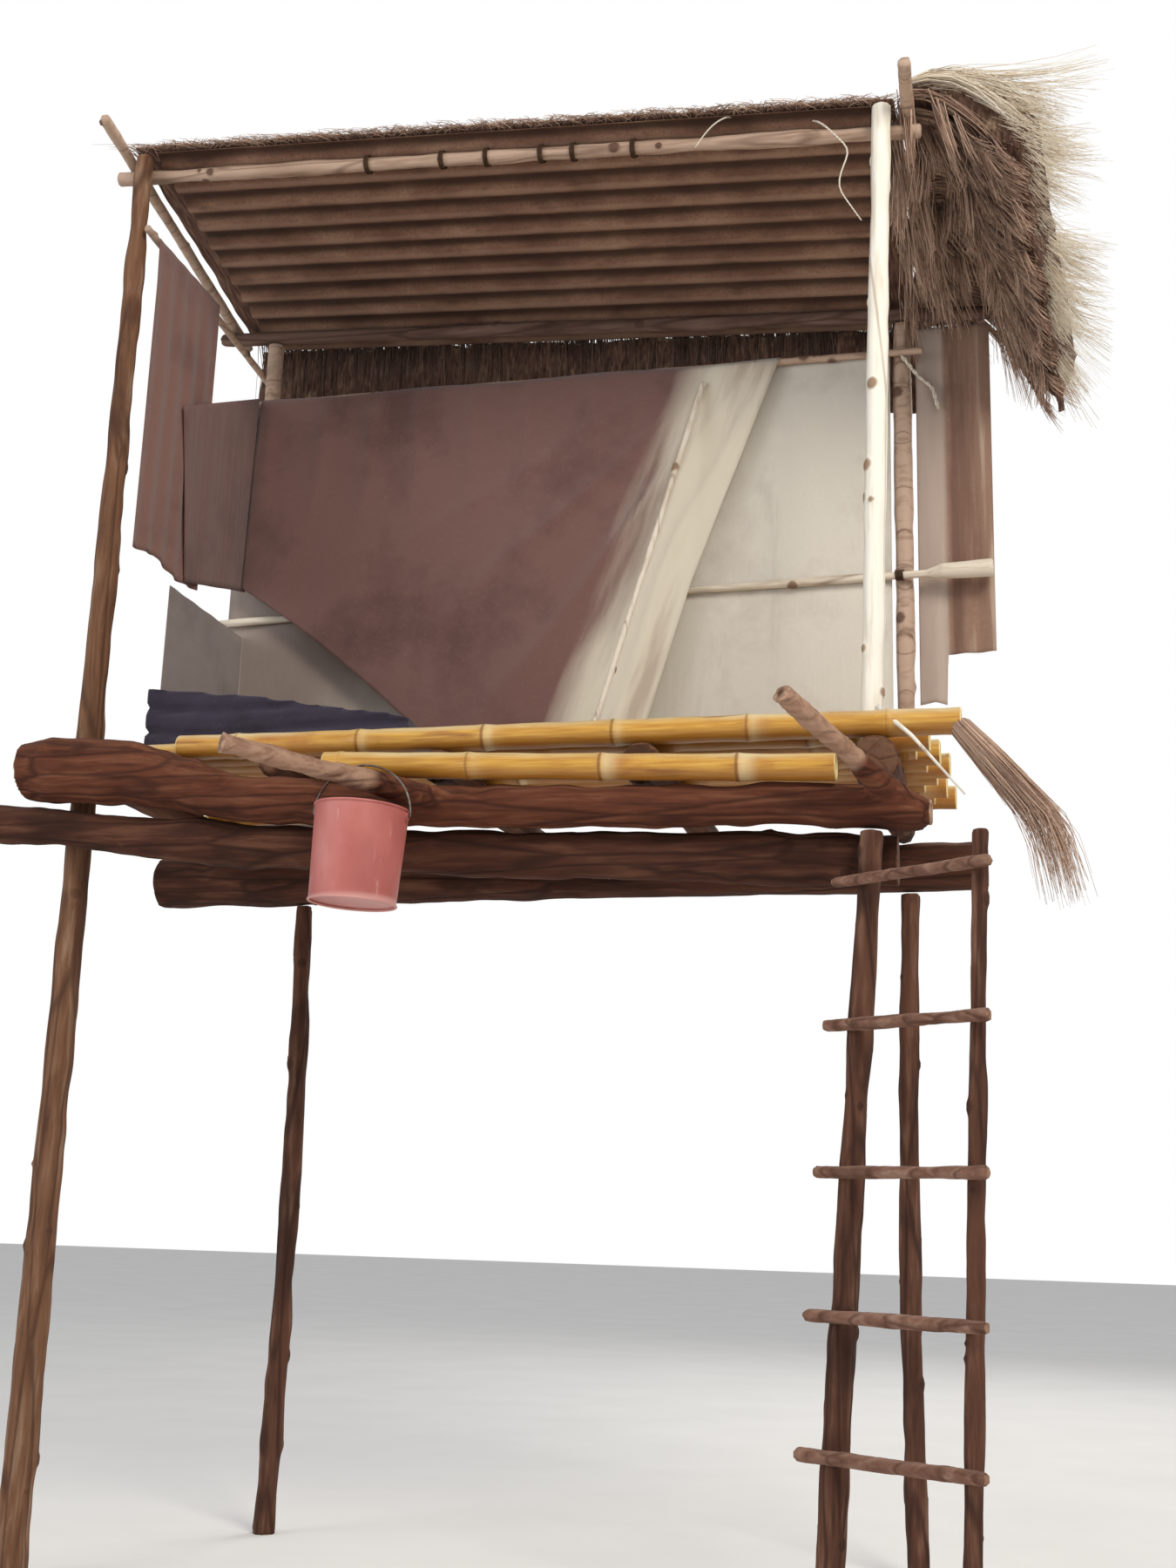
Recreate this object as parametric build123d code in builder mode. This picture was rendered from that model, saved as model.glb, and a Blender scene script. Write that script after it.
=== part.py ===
from build123d import *
from math import cos, radians, sin, sqrt, tan
import os

os.makedirs("parts", exist_ok=True)

# A child's look-out hut on poles: round logs carry a floor of bamboo culms, four posts
# carry a sheet of corrugated iron under old grass, and cloths hang on the back and the left.
# Millimetres. X runs to the right along the front, Y to the back, Z up from the ground.
# "along" is measured from the front left pole and "behind" from the line of the front posts.

# Clearances
seat = 0.3
lash_gap = 0.9
cloth_gap = 0.5
mat_edge_gap = 4

# Where the front left pole stands, from the middle of the whole hut
pole_to_middle = 1101
front_to_middle = 223

# Poles and legs
depth = 750
pole_above_roof = 32
pole_foot_radius = 42
pole_head_radius = 27
leg_foot_radius = 31
leg_head_radius = 26
leg_bow = 14
back_left_leg_along = 293
back_right_leg_along = 1985
front_leg_foot_along = 1853
front_leg_head_along = 1958
front_leg_foot_radius = 32
front_leg_head_radius = 28

# Front beams: the upper one is a crooked log with a thick butt on the left
floor_bearing = 1878
upper_left_end = -95
upper_end_radius = 68
upper_butt_along = -15
upper_butt_radius = 83
upper_butt_top = 1933
upper_shoulder_along = 190
upper_shoulder_radius = 77
upper_shoulder_top = 1916
upper_neck_along = 480
upper_neck_radius = 62
upper_neck_top = 1828
upper_middle_along = 930
upper_middle_radius = 55
upper_middle_top = 1792
upper_right_along = 1930
upper_right_radius = 52
upper_right_top = 1766
upper_right_end = 2065
upper_tip_radius = 47
upper_tip_top = 1744
upper_nose_length = 24
upper_nose_radius = 30
upper_behind_right = -104
lower_left_end = -275
lower_left_height = 1735
lower_left_radius = 53
lower_neck_drop = 110
lower_middle_drop = 107
lower_right_end = 2010
lower_right_height = 1590
lower_right_radius = 46

# Stubs of two branches that were left on the upper beam
left_stub_root = 1040
left_stub_tip_along = 585
left_stub_tip_behind = -470
left_stub_tip_height = 1808
left_stub_root_radius = 31
left_stub_tip_radius = 26
right_stub_root = 2030
right_stub_tip_along = 1799
right_stub_tip_behind = -400
right_stub_tip_height = 1892
right_stub_root_radius = 40
right_stub_tip_radius = 24

# Back beam and the joists that cross from beam to beam
back_beam_top = 1810
back_beam_left_end = -150
back_beam_right_end = 2185
back_beam_left_radius = 76
back_beam_right_radius = 68
joist_overhang = 55
joist_alongs = (540, 960, 1440, 1965)

# Bamboo floor
culm_radius = 31
culm_ridge = 2
culm_wall = 5
culm_node_spacing = 310
culm_node_phases = (130, 255, 160, 300, 120, 280)
culm_pitch = 67
floor_rows = 11
culm_left_end = 20
culm_right_end = 2110
culm_ragged_step = 17
front_culm_left_end = 287
front_culm_right_end = 2152
lower_culm_left_end = 700
lower_culm_right_end = 1885
shoulder_seat = 0.95

# Hut posts
post_radius = 27
front_post_along = 1950
front_post_lean = 37
front_post_under_roof = 68
front_post_foot_radius = 28
front_post_head_radius = 25
back_right_post_along = 1980

# Roof: it falls to the back and a little to the right
front_roof_pole_radius = 20
back_roof_pole_radius = 22
front_roof_height = 3568
roof_fall_back = 128
roof_fall_right = 110
front_roof_pole_left = -100
front_roof_pole_right = 2080
back_roof_pole_left = -100
back_roof_pole_right = 2235
rafter_radius = 17
rafter_front_end = -140
rafter_back_end = 850
sheet_left = 30
sheet_right = 1955
waves_between_poles = 9
wave_count = 11
wave_share_in_front = 0.75
wave_depth = 17
sheet_thickness = 1.5
thatch_thickness = 48
thatch_edge_thickness = 32
thatch_front = -60
thatch_back = 860
thatch_drop = 300
skirt_front = -20
skirt_back = 880
skirt_front_shelf = 60
skirt_front_reach = 265
skirt_front_fall = 200
skirt_back_shelf = 215
skirt_back_reach = 375
skirt_back_fall = 430
skirt_bend_share = 0.6
skirt_bulge = 62

# Rails behind the cloths
canvas_thickness = 4
mid_rail_left = -60
mid_rail_right = 2217
mid_rail_left_radius = 12
mid_rail_right_radius = 24
mid_rail_height_left = 2500
mid_rail_height_right = 2542
top_rail_radius = 11
top_rail_under_roof = 245
top_rail_right = 2040
side_rail_under_roof = 198
side_rail_drop = 60
side_rail_front = -25
side_rail_back = 800

# Cloths
canvas_left = 0
canvas_right = 1950
blanket_thickness = 7
blanket_over_rail = 17
blanket_top_right = 1645
blanket_waist_right = 1405
blanket_waist_height = 2535
blanket_left_height = 2590
blanket_fall_left = 830
blanket_fall_right = 1240
blanket_sag_along = 440
blanket_sag_height = 2312
blanket_lean = 2.1
wing_front = 220
wing_front_drop = 247
wing_foot_front = 310
wing_foot_height = 2485
wing_back = 690
drape_front = 20
drape_back = 400
drape_thickness = 9
drape_bottom = 2475
side_canvas_top = 2460
side_canvas_front = 250
curtain_bottom = 2870
curtain_thickness = 8
curtain_width = 36
hessian_left = 2015
hessian_right = 2222
hessian_thickness = 6
hessian_bottom = 2320
hessian_strip_right = 2088
hessian_strip_bottom = 2180
bedding_left = 80
bedding_right = 810
bedding_front = 110
bedding_back = 420
bedding_height = 185
bedding_right_height = 80
bedding_swell = 12

# Ladder: its left stile is the front right leg
ladder_right_foot_along = 2143
ladder_right_head_along = 2192
ladder_right_behind = -280
ladder_right_height = 1620
ladder_right_foot_radius = 22
ladder_right_head_radius = 18
rung_radius = 15
rung_overhang = 30
rung_heights = (375, 645, 932, 1236, 1545)

# Bucket on its bail
bucket_behind = -266
bucket_rim_radius = 105
bucket_base_radius = 97
bucket_height = 216
bucket_wall = 1.2
bucket_bead = 3
bucket_tilt = 3
bucket_recess = 7
bail_wire_radius = 2.5
bail_radius = 114.5
bail_seat = 1.6
pin_clearance = 0.5
pin_reach = 12
ear_radius = 9
ear_height = 5
ear_drop = 14

# Loose things
cane_radius = 9
cane_foot_along = 1195
cane_foot_row = 5
cane_head_along = 1428
cane_head_under_rail = 60
fibre_radius = 24
fibre_tip_radius = 10
fibre_shoulder_along = 2200
fibre_shoulder_height = 1838
fibre_bend_along = 2330
fibre_bend_height = 1674
fibre_tip_along = 2372
fibre_tip_height = 1487

# Heights that follow the roof
pole_height = front_roof_height + pole_above_roof
front_post_top = front_roof_height - front_post_under_roof
back_roof_height = front_roof_height - roof_fall_back
side_rail_height = front_roof_height - side_rail_under_roof
top_rail_height = back_roof_height - top_rail_under_roof
blanket_top = top_rail_height + blanket_over_rail
wing_front_height = blanket_top - wing_front_drop
cane_head_height = top_rail_height - cane_head_under_rail


def place(along, behind, height):
    """A point from its distances along the front, behind the front line and above ground."""
    return Vector(along - pole_to_middle, behind - front_to_middle, height)


def front_plane(along, behind, height):
    """A plane across the hut, which looks forward."""
    return Plane(origin=place(along, behind, height), x_dir=Vector(1, 0, 0), z_dir=Vector(0, -1, 0))


def side_plane(along, behind, height):
    """A plane from front to back, which looks right."""
    return Plane(origin=place(along, behind, height), x_dir=Vector(0, 1, 0), z_dir=Vector(1, 0, 0))


def blend(start, end, share):
    """The value a share of the way from start to end."""
    return start + (end - start) * share


def along_stations(stations, along):
    """Interpolate (along, value) pairs."""
    for (left, low), (right, high) in zip(stations, stations[1:]):
        if along <= right:
            return blend(low, high, (along - left) / (right - left))
    return stations[-1][1]


def round_section(centre, direction, radius):
    """A round face square to the direction of a log."""
    with BuildSketch(Plane(origin=centre, z_dir=direction)) as section:
        Circle(radius)
    return section.sketch.face()


def tapered_log(foot, head, foot_radius, head_radius, bow=0, bow_side=Vector(1, 0, 0)):
    """Loft a log from foot to head, bowed sideways between its ends."""
    direction = head - foot
    sections = []
    for share in (0, 0.35, 0.7, 1) if bow else (0, 1):
        centre = foot + direction * share + bow_side * (bow * 4 * share * (1 - share))
        sections.append(round_section(centre, direction, blend(foot_radius, head_radius, share)))
    loft(sections, ruled=True)


def crooked_log(stations):
    """Loft a log that lies along X through (centre, radius) pairs."""
    loft([round_section(centre, Vector(1, 0, 0), radius) for centre, radius in stations], ruled=True)


def bamboo_culm(centre_left, centre_right, phase):
    """Revolve a hollow culm with a raised ridge at each node, clear of the joists."""
    axis = centre_right - centre_left
    ridge = culm_radius + culm_ridge
    left = centre_left.X + pole_to_middle
    position = (phase - left) % culm_node_spacing
    nodes = []
    while position < axis.length - 4 * culm_ridge:
        if position > 4 * culm_ridge:
            nodes.append(position)
        position += culm_node_spacing
    with BuildSketch(Plane(origin=centre_left, x_dir=axis, z_dir=Vector(0, -1, 0))) as profile:
        with BuildLine():
            points = [(0, culm_radius - culm_wall), (0, culm_radius)]
            for node in nodes:
                points.append((node - 3 * culm_ridge, culm_radius))
                points.append((node, ridge))
                points.append((node + 3 * culm_ridge, culm_radius))
            points.append((axis.length, culm_radius))
            points.append((axis.length, culm_radius - culm_wall))
            Polyline(*points, close=True)
        make_face()
    revolve(profile.sketch, Axis(centre_left, axis))


# Left pole, from the ground to the roof
with BuildPart() as pole_front_left:
    tapered_log(place(0, 0, 0), place(0, 0, pole_height), pole_foot_radius, pole_head_radius)
pole_front_left.part.label = "pole_front_left"
export_step(pole_front_left.part, "parts/pole_front_left.step")

def pole_radius(height):
    """The left pole's radius at a height."""
    return blend(pole_foot_radius, pole_head_radius, height / pole_height)


# Upper front beam, which bears on the pole's front at its butt
upper_butt_height = upper_butt_top - upper_butt_radius
upper_behind_left = -(pole_radius(upper_butt_height) + upper_butt_radius + seat)
upper_radii = [
    (upper_left_end, upper_end_radius),
    (upper_butt_along, upper_butt_radius),
    (upper_shoulder_along, upper_shoulder_radius),
    (upper_neck_along, upper_neck_radius),
    (upper_middle_along, upper_middle_radius),
    (upper_right_along, upper_right_radius),
    (upper_right_end, upper_tip_radius),
]
upper_tops = [
    (upper_left_end, upper_butt_top - upper_butt_radius + upper_end_radius),
    (upper_butt_along, upper_butt_top),
    (upper_shoulder_along, upper_shoulder_top),
    (upper_neck_along, upper_neck_top),
    (upper_middle_along, upper_middle_top),
    (upper_right_along, upper_right_top),
    (upper_right_end, upper_tip_top),
]
upper_behinds = [
    (upper_left_end, upper_behind_left),
    (upper_butt_along, upper_behind_left),
    (upper_right_end, upper_behind_right),
]


def upper_radius(along):
    """The upper beam's radius."""
    return along_stations(upper_radii, along)


def upper_top(along):
    """The height of the upper beam's top."""
    return along_stations(upper_tops, along)


def upper_centre(along):
    """The middle of the upper beam."""
    return place(along, along_stations(upper_behinds, along), upper_top(along) - upper_radius(along))


with BuildPart() as beam_front_upper:
    nose = upper_centre(upper_right_end) + Vector(upper_nose_length, 0, 0)
    beam_stations = [(upper_centre(along), radius) for along, radius in upper_radii]
    crooked_log(beam_stations + [(nose, upper_nose_radius)])
    tapered_log(
        upper_centre(left_stub_root),
        place(left_stub_tip_along, left_stub_tip_behind, left_stub_tip_height),
        left_stub_root_radius,
        left_stub_tip_radius,
    )
    tapered_log(
        upper_centre(right_stub_root) + Vector(0, 0, upper_nose_radius / 2),
        place(right_stub_tip_along, right_stub_tip_behind, right_stub_tip_height),
        right_stub_root_radius,
        right_stub_tip_radius,
    )
beam_front_upper.part.label = "beam_front_upper"
export_step(beam_front_upper.part, "parts/beam_front_upper.step")

# Lower front beam, in front of the pole and behind the front right leg
lower_left_behind = -(pole_radius(lower_left_height) + lower_left_radius + lash_gap)
lower_right_behind = upper_behind_right + front_leg_head_radius + lower_right_radius + 3 * lash_gap
lower_behinds = [(upper_butt_along, lower_left_behind), (front_leg_head_along, lower_right_behind)]
stack_height = sqrt(
    (upper_butt_radius + lower_left_radius + seat) ** 2 - (upper_behind_left - lower_left_behind) ** 2
)
lower_stations = [
    (place(lower_left_end, lower_left_behind, lower_left_height), lower_left_radius),
    (place(upper_butt_along, lower_left_behind, upper_butt_height - stack_height), lower_left_radius),
]
for station, drop in ((upper_neck_along, lower_neck_drop), (upper_middle_along, lower_middle_drop)):
    centre = place(station, along_stations(lower_behinds, station), upper_centre(station).Z - drop)
    share = (station - lower_left_end) / (lower_right_end - lower_left_end)
    lower_stations.append((centre, blend(lower_left_radius, lower_right_radius, share)))
lower_stations.append((place(lower_right_end, lower_right_behind, lower_right_height), lower_right_radius))
with BuildPart() as beam_front_lower:
    crooked_log(lower_stations)
beam_front_lower.part.label = "beam_front_lower"
export_step(beam_front_lower.part, "parts/beam_front_lower.step")

# Back beam, level on top
with BuildPart() as beam_back:
    crooked_log([
        (place(back_beam_left_end, depth, back_beam_top - back_beam_left_radius), back_beam_left_radius),
        (place(back_beam_right_end, depth, back_beam_top - back_beam_right_radius), back_beam_right_radius),
    ])
beam_back.part.label = "beam_back"
export_step(beam_back.part, "parts/beam_back.step")


def back_beam_bottom(along):
    """The height of the back beam's underside."""
    share = (along - back_beam_left_end) / (back_beam_right_end - back_beam_left_end)
    return back_beam_top - 2 * blend(back_beam_left_radius, back_beam_right_radius, share)


# Legs
with BuildPart() as leg_back_left:
    tapered_log(
        place(back_left_leg_along, depth, 0),
        place(back_left_leg_along, depth, back_beam_bottom(back_left_leg_along) - seat),
        leg_foot_radius,
        leg_head_radius,
        leg_bow,
    )
leg_back_left.part.label = "leg_back_left"
export_step(leg_back_left.part, "parts/leg_back_left.step")

with BuildPart() as leg_back_right:
    tapered_log(
        place(back_right_leg_along, depth, 0),
        place(back_right_leg_along, depth, back_beam_bottom(back_right_leg_along) - seat),
        leg_foot_radius,
        leg_head_radius,
        -leg_bow,
    )
leg_back_right.part.label = "leg_back_right"
export_step(leg_back_right.part, "parts/leg_back_right.step")

front_leg_height = upper_top(front_leg_head_along) - 2 * upper_radius(front_leg_head_along) - lash_gap
with BuildPart() as leg_front_right:
    tapered_log(
        place(front_leg_foot_along, upper_behind_right, 0),
        place(front_leg_head_along, upper_behind_right, front_leg_height),
        front_leg_foot_radius,
        front_leg_head_radius,
    )
    split(bisect_by=Plane.XY, keep=Keep.TOP)
leg_front_right.part.label = "leg_front_right"
export_step(leg_front_right.part, "parts/leg_front_right.step")

# Joists: tops level under the culms, each as thick as its gap over the beams allows
back_joist_radius = (floor_bearing - back_beam_top - seat) / 2
left_joist_along = pole_radius(floor_bearing) + back_joist_radius + seat
left_joist_height = floor_bearing - back_joist_radius


def joist_radius(along, behind):
    """A joist's radius where it is a distance behind the front line."""
    front_behind = along_stations(upper_behinds, along)
    front_radius = (floor_bearing - upper_top(along) - lash_gap) / 2
    return blend(front_radius, back_joist_radius, (behind - front_behind) / (depth - front_behind))


with BuildPart() as joists:
    for along in joist_alongs:
        front_end = along_stations(upper_behinds, along)
        back_end = depth + joist_overhang
        tapered_log(
            place(along, front_end, floor_bearing - joist_radius(along, front_end)),
            place(along, back_end, floor_bearing - joist_radius(along, back_end)),
            joist_radius(along, front_end),
            joist_radius(along, back_end),
        )
joists.part.label = "joists"
export_step(joists.part, "parts/joists.step")

# The left joist is lashed to the side of the pole
with BuildPart() as joist_left:
    tapered_log(
        place(left_joist_along, upper_behind_left + upper_butt_radius + seat, left_joist_height),
        place(left_joist_along, depth + joist_overhang, left_joist_height),
        back_joist_radius,
        back_joist_radius,
    )
joist_left.part.label = "joist_left"
export_step(joist_left.part, "parts/joist_left.step")

# Bamboo floor
culm_height = floor_bearing + culm_radius + seat
floor_top = culm_height + culm_radius
floor_rest = floor_top + culm_ridge + seat
with BuildPart() as floor_culm_front:
    bamboo_culm(
        place(front_culm_left_end, -culm_pitch, culm_height),
        place(front_culm_right_end, -culm_pitch, culm_height),
        culm_node_phases[0],
    )
floor_culm_front.part.label = "floor_culm_front"
export_step(floor_culm_front.part, "parts/floor_culm_front.step")

with BuildPart() as floor_culm_posts:
    bamboo_culm(
        place(pole_radius(culm_height) + culm_ridge, 0, culm_height),
        place(front_post_along - front_post_foot_radius - culm_ridge, 0, culm_height),
        culm_node_phases[1],
    )
floor_culm_posts.part.label = "floor_culm_posts"
export_step(floor_culm_posts.part, "parts/floor_culm_posts.step")

with BuildPart() as floor_culms:
    for row in range(1, floor_rows):
        left = culm_left_end + (row * 3 % 5) * culm_ragged_step
        right = culm_right_end - (row * 2 % 5) * culm_ragged_step
        bamboo_culm(
            place(left, row * culm_pitch, culm_height),
            place(right, row * culm_pitch, culm_height),
            culm_node_phases[row % len(culm_node_phases)],
        )
floor_culms.part.label = "floor_culms"
export_step(floor_culms.part, "parts/floor_culms.step")


def shoulder_rest(along):
    """Centre of a culm that lies on the front shoulder of the upper beam."""
    shift = culm_radius + culm_ridge + seat
    reach = upper_radius(along) + culm_radius + shoulder_seat
    return upper_centre(along) + Vector(0, -shift, sqrt(reach**2 - shift**2))


with BuildPart() as floor_culm_lower:
    bamboo_culm(shoulder_rest(lower_culm_left_end), shoulder_rest(lower_culm_right_end), culm_node_phases[4])
floor_culm_lower.part.label = "floor_culm_lower"
export_step(floor_culm_lower.part, "parts/floor_culm_lower.step")

# Roof plane, through the centres of both roof poles
front_roof_behind = pole_radius(front_roof_height) + front_roof_pole_radius + seat
side_rail_along = pole_radius(side_rail_height) + top_rail_radius + seat
back_left_post_along = side_rail_along + top_rail_radius + post_radius + seat


def roof_height(along, behind):
    """Height of the roof poles' plane."""
    share = (behind - front_roof_behind) / (depth - front_roof_behind)
    return blend(front_roof_height, back_roof_height, share) - roof_fall_right * along / front_post_along


roof_corner = place(0, front_roof_behind, roof_height(0, front_roof_behind))
fall_right = Vector(front_post_along, 0, -roof_fall_right)
fall_back = Vector(0, depth - front_roof_behind, back_roof_height - front_roof_height)
slope_along = fall_right.normalized()
roof_up = fall_right.cross(fall_back).normalized()
slope_back = roof_up.cross(slope_along)


def roof_point(along, behind, lift):
    """A point square above the roof poles' plane, in the roof's own square frame."""
    right = slope_along * (along / slope_along.X)
    back = slope_back * ((behind - front_roof_behind) / slope_back.Y)
    return roof_corner + right + back + roof_up * lift

with BuildPart() as roof_pole_front:
    tapered_log(
        roof_point(front_roof_pole_left, front_roof_behind, 0),
        roof_point(front_roof_pole_right, front_roof_behind, 0),
        front_roof_pole_radius,
        front_roof_pole_radius,
    )
roof_pole_front.part.label = "roof_pole_front"
export_step(roof_pole_front.part, "parts/roof_pole_front.step")

with BuildPart() as roof_pole_back:
    tapered_log(
        roof_point(back_roof_pole_left, depth, 0),
        roof_point(back_roof_pole_right, depth, 0),
        back_roof_pole_radius,
        back_roof_pole_radius,
    )
roof_pole_back.part.label = "roof_pole_back"
export_step(roof_pole_back.part, "parts/roof_pole_back.step")


# Hut posts, the back two cut off under the back roof pole
def back_post_top(along):
    lowest = roof_height(along + post_radius, depth)
    return lowest - back_roof_pole_radius / slope_along.X - seat


with BuildPart() as post_front_right:
    tapered_log(
        place(front_post_along, 0, floor_bearing + seat),
        place(front_post_along + front_post_lean, 0, front_post_top),
        front_post_foot_radius,
        front_post_head_radius,
    )
    with BuildSketch(Plane(origin=place(front_post_along, 0, floor_bearing + seat))):
        Circle(2 * front_post_foot_radius)
    extrude(amount=-front_post_foot_radius, mode=Mode.SUBTRACT)
post_front_right.part.label = "post_front_right"
export_step(post_front_right.part, "parts/post_front_right.step")

with BuildPart() as post_back_left:
    tapered_log(
        place(back_left_post_along, depth, floor_bearing + seat),
        place(back_left_post_along, depth, back_post_top(back_left_post_along)),
        post_radius,
        post_radius,
    )
post_back_left.part.label = "post_back_left"
export_step(post_back_left.part, "parts/post_back_left.step")

with BuildPart() as post_back_right:
    tapered_log(
        place(back_right_post_along, depth, floor_bearing + seat),
        place(back_right_post_along, depth, back_post_top(back_right_post_along)),
        post_radius,
        post_radius,
    )
post_back_right.part.label = "post_back_right"
export_step(post_back_right.part, "parts/post_back_right.step")

# Rafters outside the posts, over the two roof poles
left_rafter_along = -(pole_head_radius + 2 * rafter_radius)
right_rafter_along = front_post_along + front_post_lean + front_post_head_radius + 2 * rafter_radius
rafter_lift = back_roof_pole_radius + rafter_radius + seat
with BuildPart() as rafter_left:
    tapered_log(
        roof_point(left_rafter_along, rafter_front_end, rafter_lift),
        roof_point(left_rafter_along, rafter_back_end, rafter_lift),
        rafter_radius,
        rafter_radius,
    )
rafter_left.part.label = "rafter_left"
export_step(rafter_left.part, "parts/rafter_left.step")

with BuildPart() as rafter_right:
    tapered_log(
        roof_point(right_rafter_along, rafter_front_end, rafter_lift),
        roof_point(right_rafter_along, rafter_back_end, rafter_lift),
        rafter_radius,
        rafter_radius,
    )
rafter_right.part.label = "rafter_right"
export_step(rafter_right.part, "parts/rafter_right.step")

# Corrugated sheet, with a trough over each roof pole
wave_pitch = (depth - front_roof_behind) / slope_back.Y / waves_between_poles
sheet_lift = back_roof_pole_radius + wave_depth / 2 + seat
sheet_width = wave_pitch * wave_count
sheet_length = (sheet_right - sheet_left) / slope_along.X
sheet_corner = roof_point(sheet_left, front_roof_behind, sheet_lift)
sheet_origin = sheet_corner - slope_back * wave_pitch * wave_share_in_front
quarter = wave_pitch / 4
with BuildPart() as roof_sheet:
    with BuildSketch(Plane(origin=sheet_origin, x_dir=slope_back, z_dir=slope_along)):
        with BuildLine():
            for face in (0, sheet_thickness):
                for wave in range(wave_count):
                    start = wave * wave_pitch
                    middle = start + 2 * quarter
                    crest = (start + quarter, face + wave_depth / 2)
                    trough = (middle + quarter, face - wave_depth / 2)
                    ThreePointArc((start, face), crest, (middle, face))
                    ThreePointArc((middle, face), trough, (start + wave_pitch, face))
            Line((0, 0), (0, sheet_thickness))
            Line((sheet_width, 0), (sheet_width, sheet_thickness))
        make_face()
    extrude(amount=sheet_length)
roof_sheet.part.label = "roof_sheet"
export_step(roof_sheet.part, "parts/roof_sheet.step")

# Old grass on the sheet, in a mat that thins to its front and back edges
mat_left = left_rafter_along + rafter_radius + cloth_gap
mat_right = right_rafter_along - rafter_radius - mat_edge_gap
mat_lift = sheet_lift + wave_depth / 2 + sheet_thickness + cloth_gap
mat_width = (thatch_back - thatch_front) / slope_back.Y
mat_length = (mat_right - mat_left) / slope_along.X
with BuildPart() as roof_thatch:
    mat_corner = roof_point(mat_left, thatch_front, mat_lift)
    with BuildSketch(Plane(origin=mat_corner, x_dir=slope_back, z_dir=slope_along)):
        with BuildLine():
            Polyline(
                (0, thatch_edge_thickness),
                (0, 0),
                (mat_width, 0),
                (mat_width, thatch_edge_thickness),
            )
            ThreePointArc(
                (mat_width, thatch_edge_thickness),
                (mat_width / 2, thatch_thickness),
                (0, thatch_edge_thickness),
            )
        make_face()
    extrude(amount=mat_length)
roof_thatch.part.label = "roof_thatch"
export_step(roof_thatch.part, "parts/roof_thatch.step")

# Grass that hangs off the back edge of the mat
with BuildPart() as thatch_back_fringe:
    fringe_sections = []
    for along in (mat_left, mat_right):
        corner = roof_point(along, thatch_back, mat_lift + thatch_edge_thickness)
        with BuildSketch(Plane(origin=corner, x_dir=Vector(0, 1, 0), z_dir=Vector(1, 0, 0))) as fringe:
            with BuildLine():
                Polyline(
                    (2 * thatch_edge_thickness, -thatch_edge_thickness),
                    (thatch_edge_thickness, 0),
                    (cloth_gap, 0),
                    (cloth_gap, -thatch_drop),
                    (thatch_edge_thickness, -thatch_drop),
                    (2 * thatch_edge_thickness, -thatch_drop / 2),
                    close=True,
                )
            make_face()
        fringe_sections.append(fringe.sketch.face())
    loft(fringe_sections, ruled=True)
thatch_back_fringe.part.label = "thatch_back_fringe"
export_step(thatch_back_fringe.part, "parts/thatch_back_fringe.step")


def skirt_section(behind, shelf, reach, fall):
    """Grass that lies on the right rafter, goes out past the back pole's end and droops."""
    corner = roof_point(right_rafter_along, behind, rafter_lift + rafter_radius + seat)
    bend = (shelf + reach) / 2
    with BuildSketch(Plane(origin=corner, x_dir=Vector(1, 0, 0), z_dir=Vector(0, -1, 0))) as section:
        with BuildLine():
            Polyline(
                (-rafter_radius, 0),
                (shelf, 0),
                (bend, -fall * skirt_bend_share),
                (reach, -fall),
                (reach + skirt_bulge, -fall * (1 - skirt_bend_share)),
                (bend + skirt_bulge, 0),
                (shelf, skirt_bulge),
                (-rafter_radius, thatch_edge_thickness),
                close=True,
            )
        make_face()
    return section.sketch.face()


with BuildPart() as thatch_skirt:
    loft(
        [
            skirt_section(skirt_front, skirt_front_shelf, skirt_front_reach, skirt_front_fall),
            skirt_section(skirt_back, skirt_back_shelf, skirt_back_reach, skirt_back_fall),
        ],
        ruled=True,
    )
thatch_skirt.part.label = "thatch_skirt"
export_step(thatch_skirt.part, "parts/thatch_skirt.step")

# Rails inside the back posts, with the canvas pinched between
post_face = depth - post_radius - seat
rail_face = post_face - canvas_thickness - cloth_gap
with BuildPart() as rail_middle:
    tapered_log(
        place(mid_rail_left, rail_face - mid_rail_left_radius, mid_rail_height_left),
        place(mid_rail_right, rail_face - mid_rail_right_radius, mid_rail_height_right),
        mid_rail_left_radius,
        mid_rail_right_radius,
    )
rail_middle.part.label = "rail_middle"
export_step(rail_middle.part, "parts/rail_middle.step")

with BuildPart() as rail_top:
    tapered_log(
        place(mid_rail_left, rail_face - top_rail_radius, top_rail_height),
        place(top_rail_right, rail_face - top_rail_radius, top_rail_height),
        top_rail_radius,
        top_rail_radius,
    )
rail_top.part.label = "rail_top"
export_step(rail_top.part, "parts/rail_top.step")

with BuildPart() as rail_left:
    tapered_log(
        place(side_rail_along, side_rail_front, side_rail_height),
        place(side_rail_along, side_rail_back, side_rail_height - side_rail_drop),
        top_rail_radius,
        top_rail_radius,
    )
rail_left.part.label = "rail_left"
export_step(rail_left.part, "parts/rail_left.step")

# Canvas on the back wall, from the top rail down to the joists
with BuildPart() as canvas_back:
    with BuildSketch(Plane(origin=place(0, post_face, 0), x_dir=Vector(1, 0, 0), z_dir=Vector(0, -1, 0))):
        with BuildLine():
            Polyline(
                (canvas_left, floor_bearing + cloth_gap),
                (canvas_right, floor_bearing + cloth_gap),
                (canvas_right, blanket_top),
                (canvas_left, blanket_top),
                close=True,
            )
        make_face()
    extrude(amount=canvas_thickness)
canvas_back.part.label = "canvas_back"
export_step(canvas_back.part, "parts/canvas_back.step")

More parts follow.
